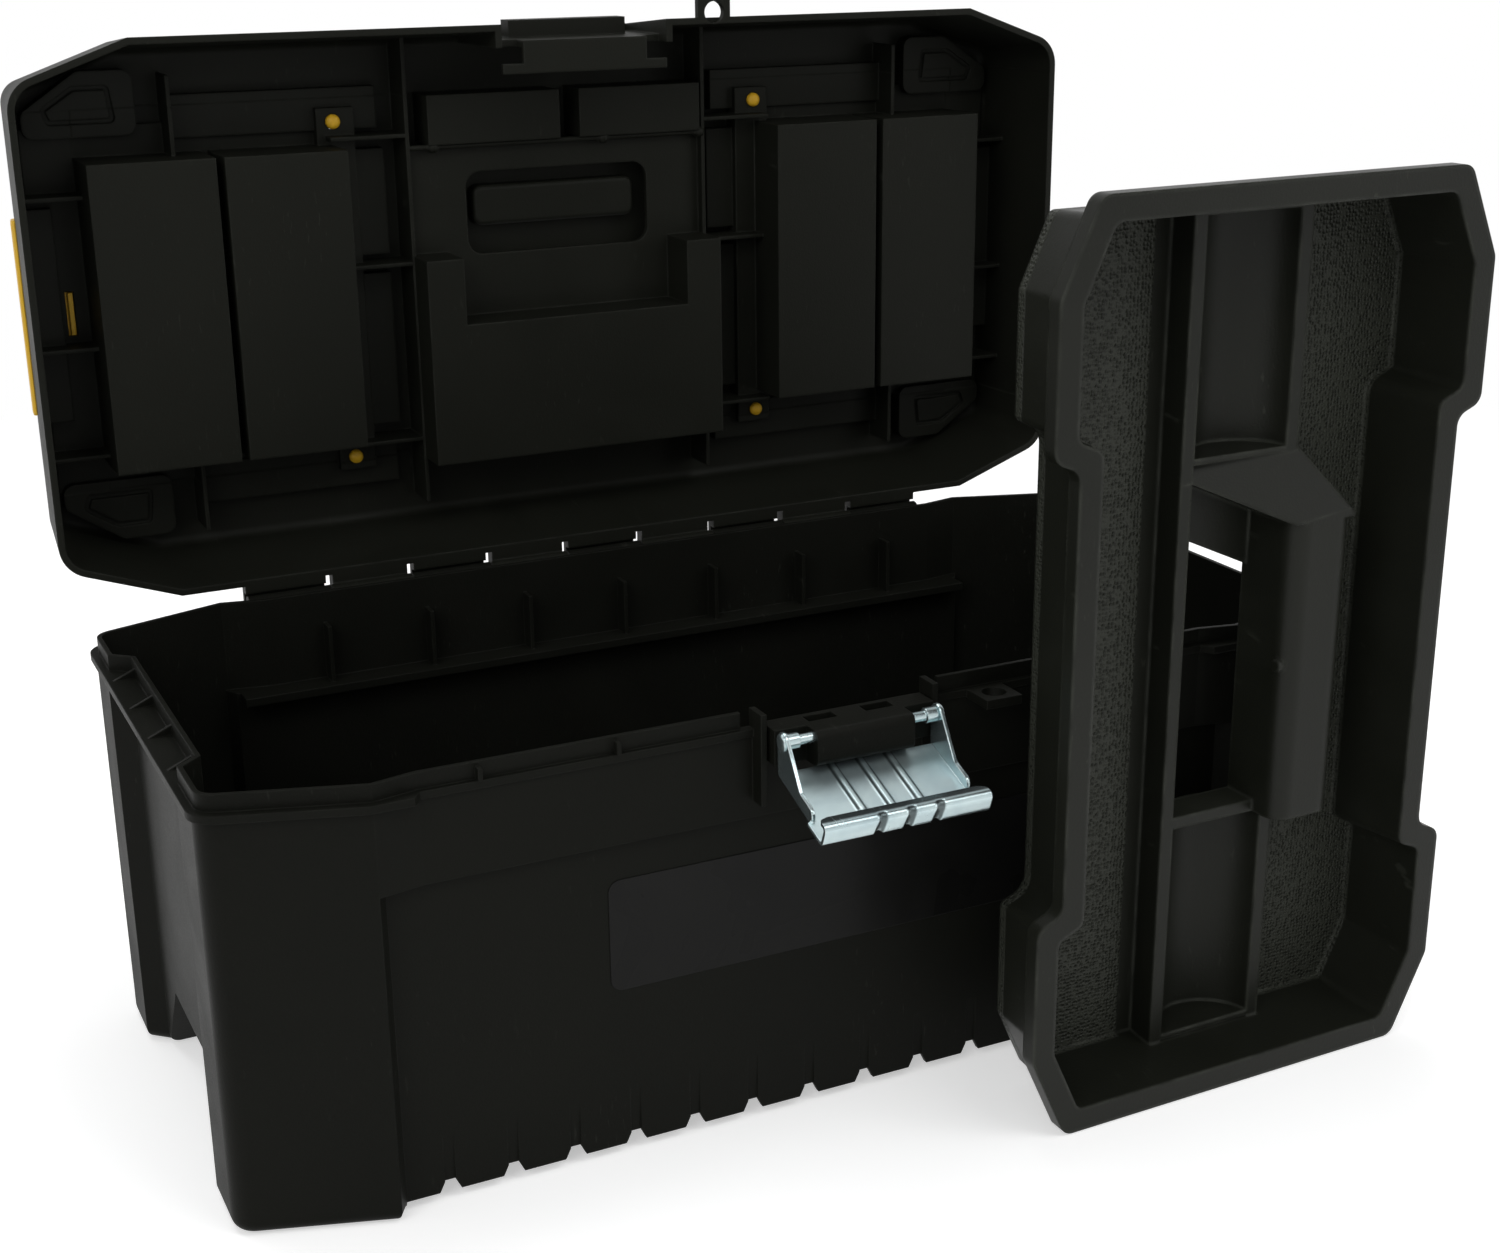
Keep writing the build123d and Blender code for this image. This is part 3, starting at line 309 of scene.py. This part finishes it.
def zincSheet(name, look):
    material, tree, shader, place = newMaterial(name)
    marks = useGroup(tree, "handling", {"Vector": place, "Scale": look["markScale"]})
    edge = useGroup(tree, "edge", {"Vector": place, "Reach": look["edgeReach"]})
    rolled = put(tree, "ShaderNodeMapping", {"Vector": place, "Scale": look["streakStretch"]}).outputs[0]
    streaks = {"Vector": rolled, "Scale": look["streakScale"], "Detail": 5.0}
    streak = put(tree, "ShaderNodeTexNoise", streaks).outputs["Fac"]
    # painted shade on the rib flanks and the hook, read from the sheet
    paintedShade = put(tree, "ShaderNodeAttribute", attribute_name="paintedShade").outputs["Fac"]
    haze = put(tree, "ShaderNodeAttribute", attribute_name="haze").outputs["Fac"]
    layers = [
        # painted highlight and wear along the edges
        (edge["Mask"], look["edgeHighlightAndWear"], look["wearAndHighlightColour"]),
        (paintedShade, look["creaseShade"], look["paintedShadeColour"]),
    ]
    colour = tint(tree, marks["Smudge"], rgb(*look["colour"]), rgb(*look["cloudColour"]))
    tree.links.new(layered(tree, colour, layers), shader.inputs["Base Color"])
    rough = calc(tree, "MULTIPLY_ADD", streak, look["streakRough"], look["rough"])
    rough = calc(tree, "MULTIPLY_ADD", haze, look["hazeRough"], rough)
    rough = calc(tree, "MULTIPLY_ADD", marks["Scuff"], look["scuffRough"], rough)
    tree.links.new(rough, shader.inputs["Roughness"])
    bumped(tree, shader, look["bump"], look["depth"], streak, edge["Normal"])
    shader.inputs["Metallic"].default_value = look["metal"]
    return material


labelLook = {
    "colour": (0.0066, 0.0066, 0.0062),
    "cloudColour": (0.0092, 0.0092, 0.0086),
    "speckColour": (0.04, 0.04, 0.04),
    "rough": 0.24,
    "smudgeRough": 0.10,
    "gloss": 0.10,
    "markScale": 24.0,
    "edgeReach": 0.0004,
    "edgeHighlightAndWear": 0.4,
    "speckScale": 2400.0,
    "speck": (0.72, 0.78),
    "speckShare": 0.5,
    "rippleScale": 60.0,
    "bump": 0.4,
    "depth": 0.0001,
}


def labelFilm(name, look):
    material, tree, shader, place = newMaterial(name)
    marks = useGroup(tree, "handling", {"Vector": place, "Scale": look["markScale"]})
    edge = useGroup(tree, "edge", {"Vector": place, "Reach": look["edgeReach"]})
    speck = put(tree, "ShaderNodeTexNoise", {"Vector": place, "Scale": look["speckScale"], "Detail": 1.0})
    dots = spread(tree, speck.outputs["Fac"], *look["speck"], 0.0, look["speckShare"])
    # specks are the film's texture; the edge mask adds a painted highlight along the label's edges
    pale = calc(tree, "MAXIMUM", dots, calc(tree, "MULTIPLY", edge["Mask"], look["edgeHighlightAndWear"]))
    colour = tint(tree, marks["Smudge"], rgb(*look["colour"]), rgb(*look["cloudColour"]))
    tree.links.new(tint(tree, pale, colour, rgb(*look["speckColour"])), shader.inputs["Base Color"])
    rough = calc(tree, "MULTIPLY_ADD", marks["Smudge"], look["smudgeRough"], look["rough"])
    tree.links.new(rough, shader.inputs["Roughness"])
    ripple = put(tree, "ShaderNodeTexNoise", {"Vector": place, "Scale": look["rippleScale"], "Detail": 2.0})
    bumped(tree, shader, look["bump"], look["depth"], ripple.outputs["Fac"], edge["Normal"])
    shader.inputs["Specular IOR Level"].default_value = look["gloss"]
    return material


finishes = {
    "black": mouldedPlastic("boxPlastic", boxPlastic),
    "lid": mouldedPlastic("lidPlastic", lidPlastic),
    "tray": mouldedPlastic("trayPlastic", trayPlastic, pebbledFloor),
    "yellow": mouldedPlastic("yellowPlastic", yellowPlastic),
    "zinc": zincSheet("zincSheet", zincLook),
    "rod": zincSheet("steelRod", rodLook),
    "label": labelFilm("labelFilm", labelLook),
}
lidNodes = ["lid_shell", "lid_front", "lid_rear", "lid_end_left", "lid_end_right", "lid_well"]
lidNodes += ["organizer_left", "organizer_right"]
nodeFinish = {
    "black": ["body_shell"],
    "lid": lidNodes + ["carry_handle"],
    "tray": ["tray"],
    "yellow": ["organizer_cover_left", "organizer_cover_right"],
    "zinc": ["latch_plate", "latch_pivots"],
    "rod": ["hinge_pin"],
    "label": ["front_label"],
}
for finishName, nodeNames in nodeFinish.items():
    for nodeName in nodeNames:
        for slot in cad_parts[nodeName].material_slots:
            slot.material = finishes[finishName]
print("toolbox: finishes on")


# mesh helpers

millimetre = 0.001
weldReach = 0.000002  # metres
boundaryAngle = 4.0  # radians, more than any real edge has


def addPiece(name, shape, finish, body, smoothBelow=35.0):
    # welds the shape, smooths it up to an angle and lets it ride on a body
    bmesh.ops.remove_doubles(shape, verts=shape.verts, dist=weldReach)
    for face in shape.faces:
        face.smooth = True
    for edge in shape.edges:
        angle = edge.calc_face_angle(boundaryAngle)
        edge.smooth = len(edge.link_faces) == 2 and angle < math.radians(smoothBelow)
    mesh = bpy.data.meshes.new(name)
    shape.to_mesh(mesh)
    shape.free()
    mesh.materials.append(finishes[finish])
    piece = bpy.data.objects.new(name, mesh)
    bpy.context.scene.collection.objects.link(piece)
    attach(piece, body)
    return piece


def ringOf(shape, points):
    return [shape.verts.new(point) for point in points]


def bridge(shape, first, second, closed=True):
    count = len(first)
    for i in range(count if closed else count - 1):
        j = (i + 1) % count
        shape.faces.new((first[i], first[j], second[j], second[i]))


def turned(shape, centre, axis, profile, spokes=28):
    # a turned body: profile is (along the axis, radius) from one end to the other
    axis = Vector(axis).normalized()
    side = axis.orthogonal().normalized()
    other = axis.cross(side)
    turns = [math.tau * i / spokes for i in range(spokes)]
    ways = [side * math.cos(turn) + other * math.sin(turn) for turn in turns]
    rings = []
    for along, radius in profile:
        middle = Vector(centre) + axis * along
        rings.append(ringOf(shape, [middle + way * radius for way in ways]))
    for first, second in zip(rings, rings[1:]):
        bridge(shape, first, second)
    shape.faces.new(list(reversed(rings[0])))
    shape.faces.new(rings[-1])


# lid: the nodes of its moulding become one welded piece

lidMoulding = {
    "smoothBelow": 28.0,  # degrees
}


def makeLid(look):
    shape = bmesh.new()
    for name in lidNodes:
        shape.from_mesh(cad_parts[name].data)
    piece = addPiece("lidMoulding", shape, "lid", "lid", look["smoothBelow"])
    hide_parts(*lidNodes)


makeLid(lidMoulding)

# domed ends of the organizer hinges, which show through the lid

hingeDots = {
    "across": 85.3,  # from the middle of the lid, all in millimetres
    "along": 62.7,
    "seat": 39.3,  # height of the flat end in the lid
    "rim": 37.0,
    "dome": 1.7,
    "domeSteps": 6,
    "radius": 2.7,
    "lidFoot": 105.05,  # where the open lid's rim and middle stand
    "lidMiddle": 240.95,
}


def makeHingeDots(look):
    shape = bmesh.new()
    height = look["seat"] - look["rim"]
    profile = [(0.0, look["radius"]), (height, look["radius"])]
    for i in range(1, look["domeSteps"]):
        turn = math.radians(90 / look["domeSteps"] * i)
        profile.append((height + look["dome"] * math.sin(turn), look["radius"] * math.cos(turn)))
    profile = [(along * millimetre, radius * millimetre) for along, radius in profile]
    for side in (-1, 1):
        for end in (-1, 1):
            along = look["lidMiddle"] - end * look["along"]
            centre = Vector((side * look["across"], look["lidFoot"] + look["seat"], along)) * millimetre
            turned(shape, centre, (0, -1, 0), profile)
    addPiece("hingeDots", shape, "yellow", "lid")


makeHingeDots(hingeDots)

# rod with pips along the front edge of the handle's well

wellRod = {
    "length": 120.0,  # millimetres
    "rod": 1.0,  # radius
    "pip": 2.3,  # radius
    "pips": (-50.0, 18.0, 58.5),  # across the lid
    "along": -52.2,  # in the lid
    "height": 31.2,
    "sides": 16,
    "pipDetail": 3,  # subdivisions of a pip
    "smoothBelow": 50.0,  # degrees
}


def rodTree(look):
    tree = bpy.data.node_groups.new("rodWithPips", "GeometryNodeTree")
    face = tree.interface
    face.new_socket(name="Geometry", in_out="OUTPUT", socket_type="NodeSocketGeometry")
    face.new_socket(name="Pip Places", in_out="INPUT", socket_type="NodeSocketGeometry")
    for label in ("Length", "Rod Radius", "Pip Radius"):
        face.new_socket(name=label, in_out="INPUT", socket_type="NodeSocketFloat")
    face.new_socket(name="Material", in_out="INPUT", socket_type="NodeSocketMaterial")
    given = tree.nodes.new("NodeGroupInput").outputs
    half = calc(tree, "MULTIPLY", given["Length"], 0.5)
    start = put(tree, "ShaderNodeCombineXYZ", {"X": calc(tree, "MULTIPLY", half, -1.0)}).outputs[0]
    end = put(tree, "ShaderNodeCombineXYZ", {"X": half}).outputs[0]
    line = put(tree, "GeometryNodeCurvePrimitiveLine", {"Start": start, "End": end}).outputs["Curve"]
    circle = {"Resolution": look["sides"], "Radius": given["Rod Radius"]}
    ring = put(tree, "GeometryNodeCurvePrimitiveCircle", circle).outputs["Curve"]
    sweep = {"Curve": line, "Profile Curve": ring, "Fill Caps": True}
    rod = put(tree, "GeometryNodeCurveToMesh", sweep).outputs[0]
    ball = {"Radius": given["Pip Radius"], "Subdivisions": look["pipDetail"]}
    bead = put(tree, "GeometryNodeMeshIcoSphere", ball).outputs["Mesh"]
    beading = {"Points": given["Pip Places"], "Instance": bead}
    beads = put(tree, "GeometryNodeInstanceOnPoints", beading).outputs[0]
    joined = tree.nodes.new("GeometryNodeJoinGeometry")
    tree.links.new(rod, joined.inputs[0])
    tree.links.new(beads, joined.inputs[0])
    real = put(tree, "GeometryNodeRealizeInstances", {0: joined.outputs[0]}).outputs[0]
    dressed = put(tree, "GeometryNodeSetMaterial", {"Geometry": real, "Material": given["Material"]}).outputs[0]
    tree.links.new(dressed, tree.nodes.new("NodeGroupOutput").inputs[0])
    return tree


def grown(name, points, tree, values):
    # runs a geometry tree on loose points and hands back the finished shape
    places = bpy.data.meshes.new(name + "Points")
    places.from_pydata(points, [], [])
    carrier = bpy.data.objects.new(name + "Carrier", places)
    bpy.context.scene.collection.objects.link(carrier)
    nodes = carrier.modifiers.new(name, "NODES")
    nodes.node_group = tree
    for item in tree.interface.items_tree:
        if item.in_out == "INPUT" and item.name in values:
            nodes[item.identifier] = values[item.name]
    seen = carrier.evaluated_get(bpy.context.evaluated_depsgraph_get())
    mesh = bpy.data.meshes.new_from_object(seen)
    carrier.modifiers.remove(nodes)
    bpy.data.objects.remove(carrier)
    bpy.data.meshes.remove(places)
    shape = bmesh.new()
    shape.from_mesh(mesh)
    bpy.data.meshes.remove(mesh)
    return shape


def makeWellRod(look):
    values = {
        "Length": look["length"] * millimetre, "Rod Radius": look["rod"] * millimetre,
        "Pip Radius": look["pip"] * millimetre, "Material": finishes["lid"],
    }
    points = [(across * millimetre, 0, 0) for across in look["pips"]]
    shape = grown("wellRod", points, rodTree(look), values)
    place = Vector((0, hingeDots["lidFoot"] + look["height"], hingeDots["lidMiddle"] - look["along"]))
    bmesh.ops.translate(shape, verts=shape.verts, vec=place * millimetre)
    addPiece("wellRod", shape, "lid", "lid", look["smoothBelow"])


makeWellRod(wellRod)

# bulged end of each organizer cover, past the side of the lid

coverEnds = {
    "half": 34.6,  # millimetres, along the lid's end
    "section": [  # from the middle of the lid, height in the lid
        (198.5, 46.9), (199.1, 46.8), (199.9, 46.1), (200.5, 44.9), (200.8, 43.1), (201.0, 39.9), (200.8, 39.2),
        (200.0, 38.8), (198.5, 39.6),
    ],
    "tip": ((0.0, 0.75), (0.48, 0.93), (1.2, 1.0)),  # way from the tip and share of the section there
}


def makeCoverEnds(look):
    middleX = sum(x for x, height in look["section"]) / len(look["section"])
    middleH = sum(height for x, height in look["section"]) / len(look["section"])
    stations = [(along - look["half"], share) for along, share in look["tip"]]
    stations += [(-along, share) for along, share in reversed(stations)]
    for side, body in ((-1, "cover_left"), (1, "cover_right")):
        shape = bmesh.new()
        rings = []
        for along, share in stations:
            points = []
            for x, height in look["section"]:
                across = side * (middleX + (x - middleX) * share)
                lift = hingeDots["lidFoot"] + middleH + (height - middleH) * share
                points.append(Vector((across, lift, hingeDots["lidMiddle"] - along)) * millimetre)
            rings.append(ringOf(shape, points))
        for first, second in zip(rings, rings[1:]):
            bridge(shape, first, second)
        shape.faces.new(rings[0])
        shape.faces.new(rings[-1])
        bmesh.ops.recalc_face_normals(shape, faces=shape.faces)
        addPiece("coverEnd" + body[6:].capitalize(), shape, "yellow", body)


makeCoverEnds(coverEnds)
print("toolbox: lid done")


# latch: pressed sheet with two ears, three ribs and a hooked front

latch = {
    "pivotY": -104.5,  # millimetres
    "pivotZ": 137.0,
    "tilt": 20.2,  # degrees below level
    "sheet": 1.2,
    "near": 1.8,
    "far": 34.0,
    "drop": 11.4,
    "foldDrop": 4.5,
    "hookFar": 28.9,
    "hookDrop": 6.0,
    "bend": 1.5,
    "earHalf": 27.5,
    "lipHalf": 28.7,
    "shoulder": 24.5,
    "ribs": (-9.9, 0.0, 9.9),
    "ribRise": 0.95,
    "ribFoot": 1.9,
    "ribTop": 0.55,
    "ribFade": 0.75,  # what a rib loses up the front wall
    "dentShift": 1.1,
    "cornerRound": 3.0,
    "flankShadeSharp": 4.5,
    "hookShade": 0.85,
    "hookStart": 0.4,  # in bend radii past the fold
    "step": 1.0,
    "columns": 192,
    "eye": 3.3,
    "earGap": 0.3,  # the plate ends this far inside the ears
    "earEdge": ((15.0, -7.3), (15.8, -7.5), (22.3, -7.5), (23.4, -7.8), (24.4, -9.2), (24.6, -10.2)),
    "earFoot": 0.5,
    "earHeel": (0.9, 0.4),
    "earMiddle": (9.0, -5.0),
    "earSoft": 0.22,
    "smoothBelow": 40.0,  # degrees
}
latchTilt = math.radians(latch["tilt"])
latchAhead = Vector((0, -math.cos(latchTilt), -math.sin(latchTilt)))
latchOver = Vector((0, -math.sin(latchTilt), math.cos(latchTilt)))
latchPivot = Vector((0, latch["pivotY"], latch["pivotZ"]))


def onLatch(along, over, across):
    return (latchPivot + latchAhead * along + latchOver * over + Vector((across, 0, 0))) * millimetre


def roundedPath(corners, radius, steps=7):
    # polyline with its inner corners rounded
    path = [Vector(corners[0])]
    for before, corner, after in zip(corners, corners[1:], corners[2:]):
        before, corner, after = Vector(before), Vector(corner), Vector(after)
        inward, outward = (before - corner).normalized(), (after - corner).normalized()
        half = inward.angle(outward) / 2
        reach = radius / math.tan(half)
        centre = corner + (inward + outward).normalized() * radius / math.sin(half)
        start, end = corner + inward * reach - centre, corner + outward * reach - centre
        sweep = start.angle_signed(end)
        for i in range(steps + 1):
            turn = -sweep * i / steps
            path.append(centre + Matrix.Rotation(turn, 2) @ start)
    path.append(Vector(corners[-1]))
    return path


def denser(path, gap):
    filled = [path[0]]
    for first, second in zip(path, path[1:]):
        count = max(1, math.ceil((second - first).length / gap))
        filled += [first.lerp(second, (i + 1) / count) for i in range(count)]
    return filled


def ribHeight(look, across, wallShare):
    # the ribs run down the plate, round the bend and die out up the front wall
    total = 0.0
    fade = 1.0 - look["ribFade"] * wallShare
    for middle in look["ribs"]:
        offset = abs(across - middle - look["dentShift"] * wallShare)
        ramp = min(1.0, max(0.0, (look["ribFoot"] - offset) / (look["ribFoot"] - look["ribTop"])))
        total = max(total, ramp * ramp * (3 - 2 * ramp))
    return total * look["ribRise"] * fade


def sheetHalf(look, point, toEnd, onPlate):
    # half the width of the sheet, which narrows between the ears and at the rounded ends of the hook
    if point.x <= look["shoulder"] and onPlate:
        return look["earHalf"] - look["earGap"]
    rounding = look["cornerRound"] - toEnd
    if rounding <= 0:
        return look["lipHalf"]
    sideways = math.sqrt(max(0.0, look["cornerRound"] ** 2 - rounding ** 2))
    return look["lipHalf"] - (look["cornerRound"] - sideways)


def makeLatchSheet(look):
    shape = bmesh.new()
    paintedShade = shape.verts.layers.float.new("paintedShade")
    haze = shape.verts.layers.float.new("haze")
    corners = [
        (look["near"], -look["drop"]), (look["far"], -look["drop"]),
        (look["far"], -look["foldDrop"]), (look["hookFar"], -look["hookDrop"]),
    ]
    path = denser(roundedPath(corners, look["bend"]), look["step"])
    columns = look["columns"]
    lengths = [0.0]
    for first, second in zip(path, path[1:]):
        lengths.append(lengths[-1] + (second - first).length)
    wallAt = look["far"] - look["bend"] * 0.5
    plateEnd = next(length for length, point in zip(lengths, path) if point.x > wallAt)
    foldAt = max(zip((point.y for point in path), lengths))[1]
    hookAt = foldAt + look["bend"] * look["hookStart"]
    layers = []
    for face in (1, -1):
        rows = []
        for i, (point, length) in enumerate(zip(path, lengths)):
            before, after = path[max(i - 1, 0)], path[min(i + 1, len(path) - 1)]
            heading = (after - before).normalized()
            out = Vector((-heading.y, heading.x))
            half = sheetHalf(look, point, lengths[-1] - length, length < plateEnd)
            wallShare = min(1.0, max(0.0, (length - plateEnd) / (foldAt - plateEnd)))
            row = []
            for j in range(columns + 1):
                across = -half + 2 * half * j / columns
                rise = 0.0 if length > foldAt else ribHeight(look, across, wallShare)
                place = point + out * (rise + face * look["sheet"] / 2)
                vert = shape.verts.new(onLatch(place.x, place.y, across))
                # painted shade: the flanks of the ribs and the whole hook past its start are darkened
                flank = min(rise, look["ribRise"] - rise) / look["ribRise"]
                vert[paintedShade] = min(1.0, look["flankShadeSharp"] * max(0.0, flank)) if rise else 0.0
                if length > hookAt:
                    vert[paintedShade] = look["hookShade"]
                vert[haze] = 1.0 if length < plateEnd and face == 1 else 0.0
                row.append(vert)
            rows.append(row)
        layers.append(rows)
    upper, lower = layers
    for i in range(len(path) - 1):
        bridge(shape, upper[i + 1], upper[i], False)
        bridge(shape, lower[i], lower[i + 1], False)
    bridge(shape, upper[0], lower[0], False)
    bridge(shape, lower[-1], upper[-1], False)
    for i in range(len(path) - 1):
        for column, flip in ((0, False), (columns, True)):
            corner = (upper[i][column], upper[i + 1][column], lower[i + 1][column], lower[i][column])
            shape.faces.new(tuple(reversed(corner)) if flip else corner)
    makeEars(shape, look)
    bmesh.ops.recalc_face_normals(shape, faces=shape.faces)
    piece = addPiece("latchSheet", shape, "zinc", "latch", look["smoothBelow"])
    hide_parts("latch_plate")


def makeEars(shape, look):
    turns = [math.radians(angle) for angle in range(200, 40, -12)]
    outline = [(look["eye"] * math.cos(turn), look["eye"] * math.sin(turn)) for turn in turns]
    outline += look["earEdge"]
    foot = -look["drop"] - look["earFoot"]
    back, up = look["earHeel"]
    outline += [(look["shoulder"], foot), (look["near"], foot), (look["near"] - back, up - look["drop"])]
    middle = Vector(look["earMiddle"])
    sheet, soft = look["sheet"], look["earSoft"]
    for side in (-1, 1):
        rings = []
        for depth, shrink in ((0, soft), (soft, 0), (sheet - soft, 0), (sheet, soft)):
            points = []
            for point in outline:
                point = Vector(point)
                point -= (point - middle).normalized() * shrink
                points.append(onLatch(point.x, point.y, side * (look["earHalf"] - depth)))
            rings.append(ringOf(shape, points))
        for first, second in zip(rings, rings[1:]):
            bridge(shape, first, second)
        shape.faces.new(rings[0])
        shape.faces.new(rings[-1])


makeLatchSheet(latch)

pins = {
    "bearing": 14.0,  # inner end of a pin, from the middle
    "shaft": 1.68,  # radius
    "collar": 2.5,
    "collarNear": 22.0,
    "chamfer": 0.3,
    "gap": 0.02,  # between collar and ear
    "head": 2.9,
    "dome": ((0.0, 1.0), (0.35, 1.0), (0.7, 0.82), (0.95, 0.5), (0.95, 0.2)),  # past the ear, share of the head
    "smoothBelow": 30.0,  # degrees
}


def makeLatchPins(look):
    shape = bmesh.new()
    face = latch["earHalf"]
    inner = face - latch["sheet"] - look["gap"]
    shaft, collar, chamfer = look["shaft"], look["collar"], look["chamfer"]
    profile = [
        (look["bearing"], shaft - chamfer), (look["bearing"] + chamfer, shaft), (look["collarNear"], shaft),
        (look["collarNear"] + chamfer, collar), (inner - chamfer, collar), (inner, collar - chamfer),
        (inner, shaft), (face, shaft),
    ]
    profile += [(face + past, look["head"] * share) for past, share in look["dome"]]
    profile = [(along * millimetre, radius * millimetre) for along, radius in profile]
    for side in (-1, 1):
        turned(shape, latchPivot * millimetre, (side, 0, 0), profile)
    bmesh.ops.recalc_face_normals(shape, faces=shape.faces)
    piece = addPiece("latchPins", shape, "zinc", "latch", look["smoothBelow"])
    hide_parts("latch_pivots")


makeLatchPins(pins)
print("toolbox: latch done")


# floor, world, lamps and camera

studio = {
    "floorColour": (0.82, 0.82, 0.82),
    "floorGlow": 0.47,  # what camera and mirror rays see on top of the lit floor
    "floorSink": 0.0004,  # metres below the feet
    "floorRings": (0.3, 0.6, 1.2, 3.0, 40.0),
    "floorSpokes": 48,
    "nearRing": 0.55,  # metres from the centre, where the floor starts to turn to plain white
    "farRing": 1.1,
    "farBounce": 0.4,  # what the white part gives to the object
    "worldLight": 0.40,
    "ceilingLow": 0.2,  # how high the greyer ceiling starts and is complete
    "ceilingHigh": 0.7,
    "ceilingTone": 0.42,
}


def makeFloor(look):
    shape = bmesh.new()
    first, *others = look["floorRings"]
    bmesh.ops.create_circle(shape, cap_ends=True, radius=first, segments=look["floorSpokes"])
    for radius in others:
        outer = [edge for edge in shape.edges if edge.is_boundary]
        added = bmesh.ops.extrude_edge_only(shape, edges=outer)["geom"]
        for vert in (item for item in added if isinstance(item, bmesh.types.BMVert)):
            vert.co = vert.co.normalized() * radius
    for vert in shape.verts:
        vert.co.z = -look["floorSink"]
    bmesh.ops.recalc_face_normals(shape, faces=shape.faces)
    mesh = bpy.data.meshes.new("studioFloor")
    shape.to_mesh(mesh)
    shape.free()
    floor = bpy.data.objects.new("studioFloor", mesh)
    bpy.context.scene.collection.objects.link(floor)
    material = bpy.data.materials.new("studioFloor")
    material.use_nodes = True
    tree = material.node_tree
    tree.nodes.clear()
    place = tree.nodes.new("ShaderNodeTexCoord").outputs["Object"]
    away = put(tree, "ShaderNodeVectorMath", {0: place}, operation="LENGTH").outputs["Value"]
    path = put(tree, "ShaderNodeLightPath").outputs
    seen = calc(tree, "ADD", path["Is Camera Ray"], path["Is Glossy Ray"])
    seen = calc(tree, "MINIMUM", calc(tree, "ADD", seen, path["Is Transmission Ray"]), 1.0)
    lit = put(tree, "ShaderNodeBsdfDiffuse", {"Color": rgb(*look["floorColour"])}).outputs[0]
    glowing = {"Color": rgb(1, 1, 1), "Strength": calc(tree, "MULTIPLY", seen, look["floorGlow"])}
    glow = put(tree, "ShaderNodeEmission", glowing).outputs[0]
    near = put(tree, "ShaderNodeAddShader", {0: lit, 1: glow}).outputs[0]
    plain = {"Color": rgb(1, 1, 1), "Strength": spread(tree, seen, 0.0, 1.0, look["farBounce"], 1.0)}
    white = put(tree, "ShaderNodeEmission", plain).outputs[0]
    blend = spread(tree, away, look["nearRing"], look["farRing"])
    mixed = put(tree, "ShaderNodeMixShader", {0: blend, 1: near, 2: white}).outputs[0]
    put(tree, "ShaderNodeOutputMaterial", {"Surface": mixed})
    mesh.materials.append(material)


def makeWorld(look):
    world = bpy.data.worlds.new("studioWorld")
    world.use_nodes = True
    tree = world.node_tree
    tree.nodes.clear()
    path = put(tree, "ShaderNodeLightPath").outputs
    place = put(tree, "ShaderNodeTexCoord").outputs["Generated"]
    toward = put(tree, "ShaderNodeSeparateXYZ", {0: place}).outputs
    ceiling = spread(tree, toward["Z"], look["ceilingLow"], look["ceilingHigh"], 1.0, look["ceilingTone"])
    mirrored = calc(tree, "MAXIMUM", path["Is Glossy Ray"], path["Is Transmission Ray"])
    strength = spread(tree, path["Is Camera Ray"], 0.0, 1.0, look["worldLight"], 1.0)
    mixing = {0: mirrored, 2: strength, 3: ceiling}
    strength = put(tree, "ShaderNodeMix", mixing, data_type="FLOAT").outputs[0]
    sky = put(tree, "ShaderNodeBackground", {"Color": rgb(1, 1, 1), "Strength": strength})
    put(tree, "ShaderNodeOutputWorld", {"Surface": sky.outputs[0]})
    bpy.context.scene.world = world


lamps = {
    "lampLeft": {"place": (-1.3, -1.1, 1.25), "aim": (0.0, -0.02, 0.15), "size": (1.1, 1.1), "power": 11.0},
    "lampRight": {"place": (1.5, -1.3, 0.9), "aim": (0.05, 0.0, 0.15), "size": (0.8, 1.2), "power": 4.0},
    "lampTop": {"place": (-0.1, 0.5, 1.7), "aim": (0.0, 0.0, 0.1), "size": (1.4, 0.9), "power": 12.0},
    "lampOver": {"place": (0.35, -0.75, 1.25), "aim": (0.12, -0.1, 0.25), "size": (0.7, 0.5), "power": 3.5},
}


def makeLamp(name, look):
    lamp = bpy.data.lights.new(name, "AREA")
    lamp.shape = "RECTANGLE"
    lamp.size, lamp.size_y = look["size"]
    lamp.energy = look["power"]
    holder = bpy.data.objects.new(name, lamp)
    holder.location = look["place"]
    holder.rotation_mode = "QUATERNION"
    holder.rotation_quaternion = (Vector(look["aim"]) - Vector(look["place"])).to_track_quat("-Z", "Y")
    bpy.context.scene.collection.objects.link(holder)


viewFrom = {
    "place": (-0.29807, -0.64236, 0.37768),  # metres
    "yaw": 25.82,  # degrees
    "pitch": 18.67,
    "roll": -0.60,
    "sensor": 36.0,  # millimetres
    "lens": 51.389,
    "nearest": 0.02,  # metres
    "farthest": 200.0,
}


def makeCamera(look):
    yaw, pitch, roll = (math.radians(look[part]) for part in ("yaw", "pitch", "roll"))
    ahead = Vector((math.sin(yaw) * math.cos(pitch), math.cos(yaw) * math.cos(pitch), -math.sin(pitch)))
    level = Vector((math.cos(yaw), -math.sin(yaw), 0))
    over = level.cross(ahead)
    side = level * math.cos(roll) + over * math.sin(roll)
    up = over * math.cos(roll) - level * math.sin(roll)
    camera = bpy.data.cameras.new("studioCamera")
    camera.sensor_width = look["sensor"]
    camera.sensor_fit = "HORIZONTAL"
    camera.lens = look["lens"]
    camera.clip_start = look["nearest"]
    camera.clip_end = look["farthest"]
    holder = bpy.data.objects.new("studioCamera", camera)
    facing = Matrix((side, up, -ahead)).transposed().to_4x4()
    holder.matrix_world = Matrix.Translation(look["place"]) @ facing
    bpy.context.scene.collection.objects.link(holder)
    bpy.context.scene.camera = holder


makeFloor(studio)
makeWorld(studio)
for lampName, lampLook in lamps.items():
    makeLamp(lampName, lampLook)
makeCamera(viewFrom)
bpy.context.scene.view_settings.view_transform = "Standard"
print("toolbox: stage set")
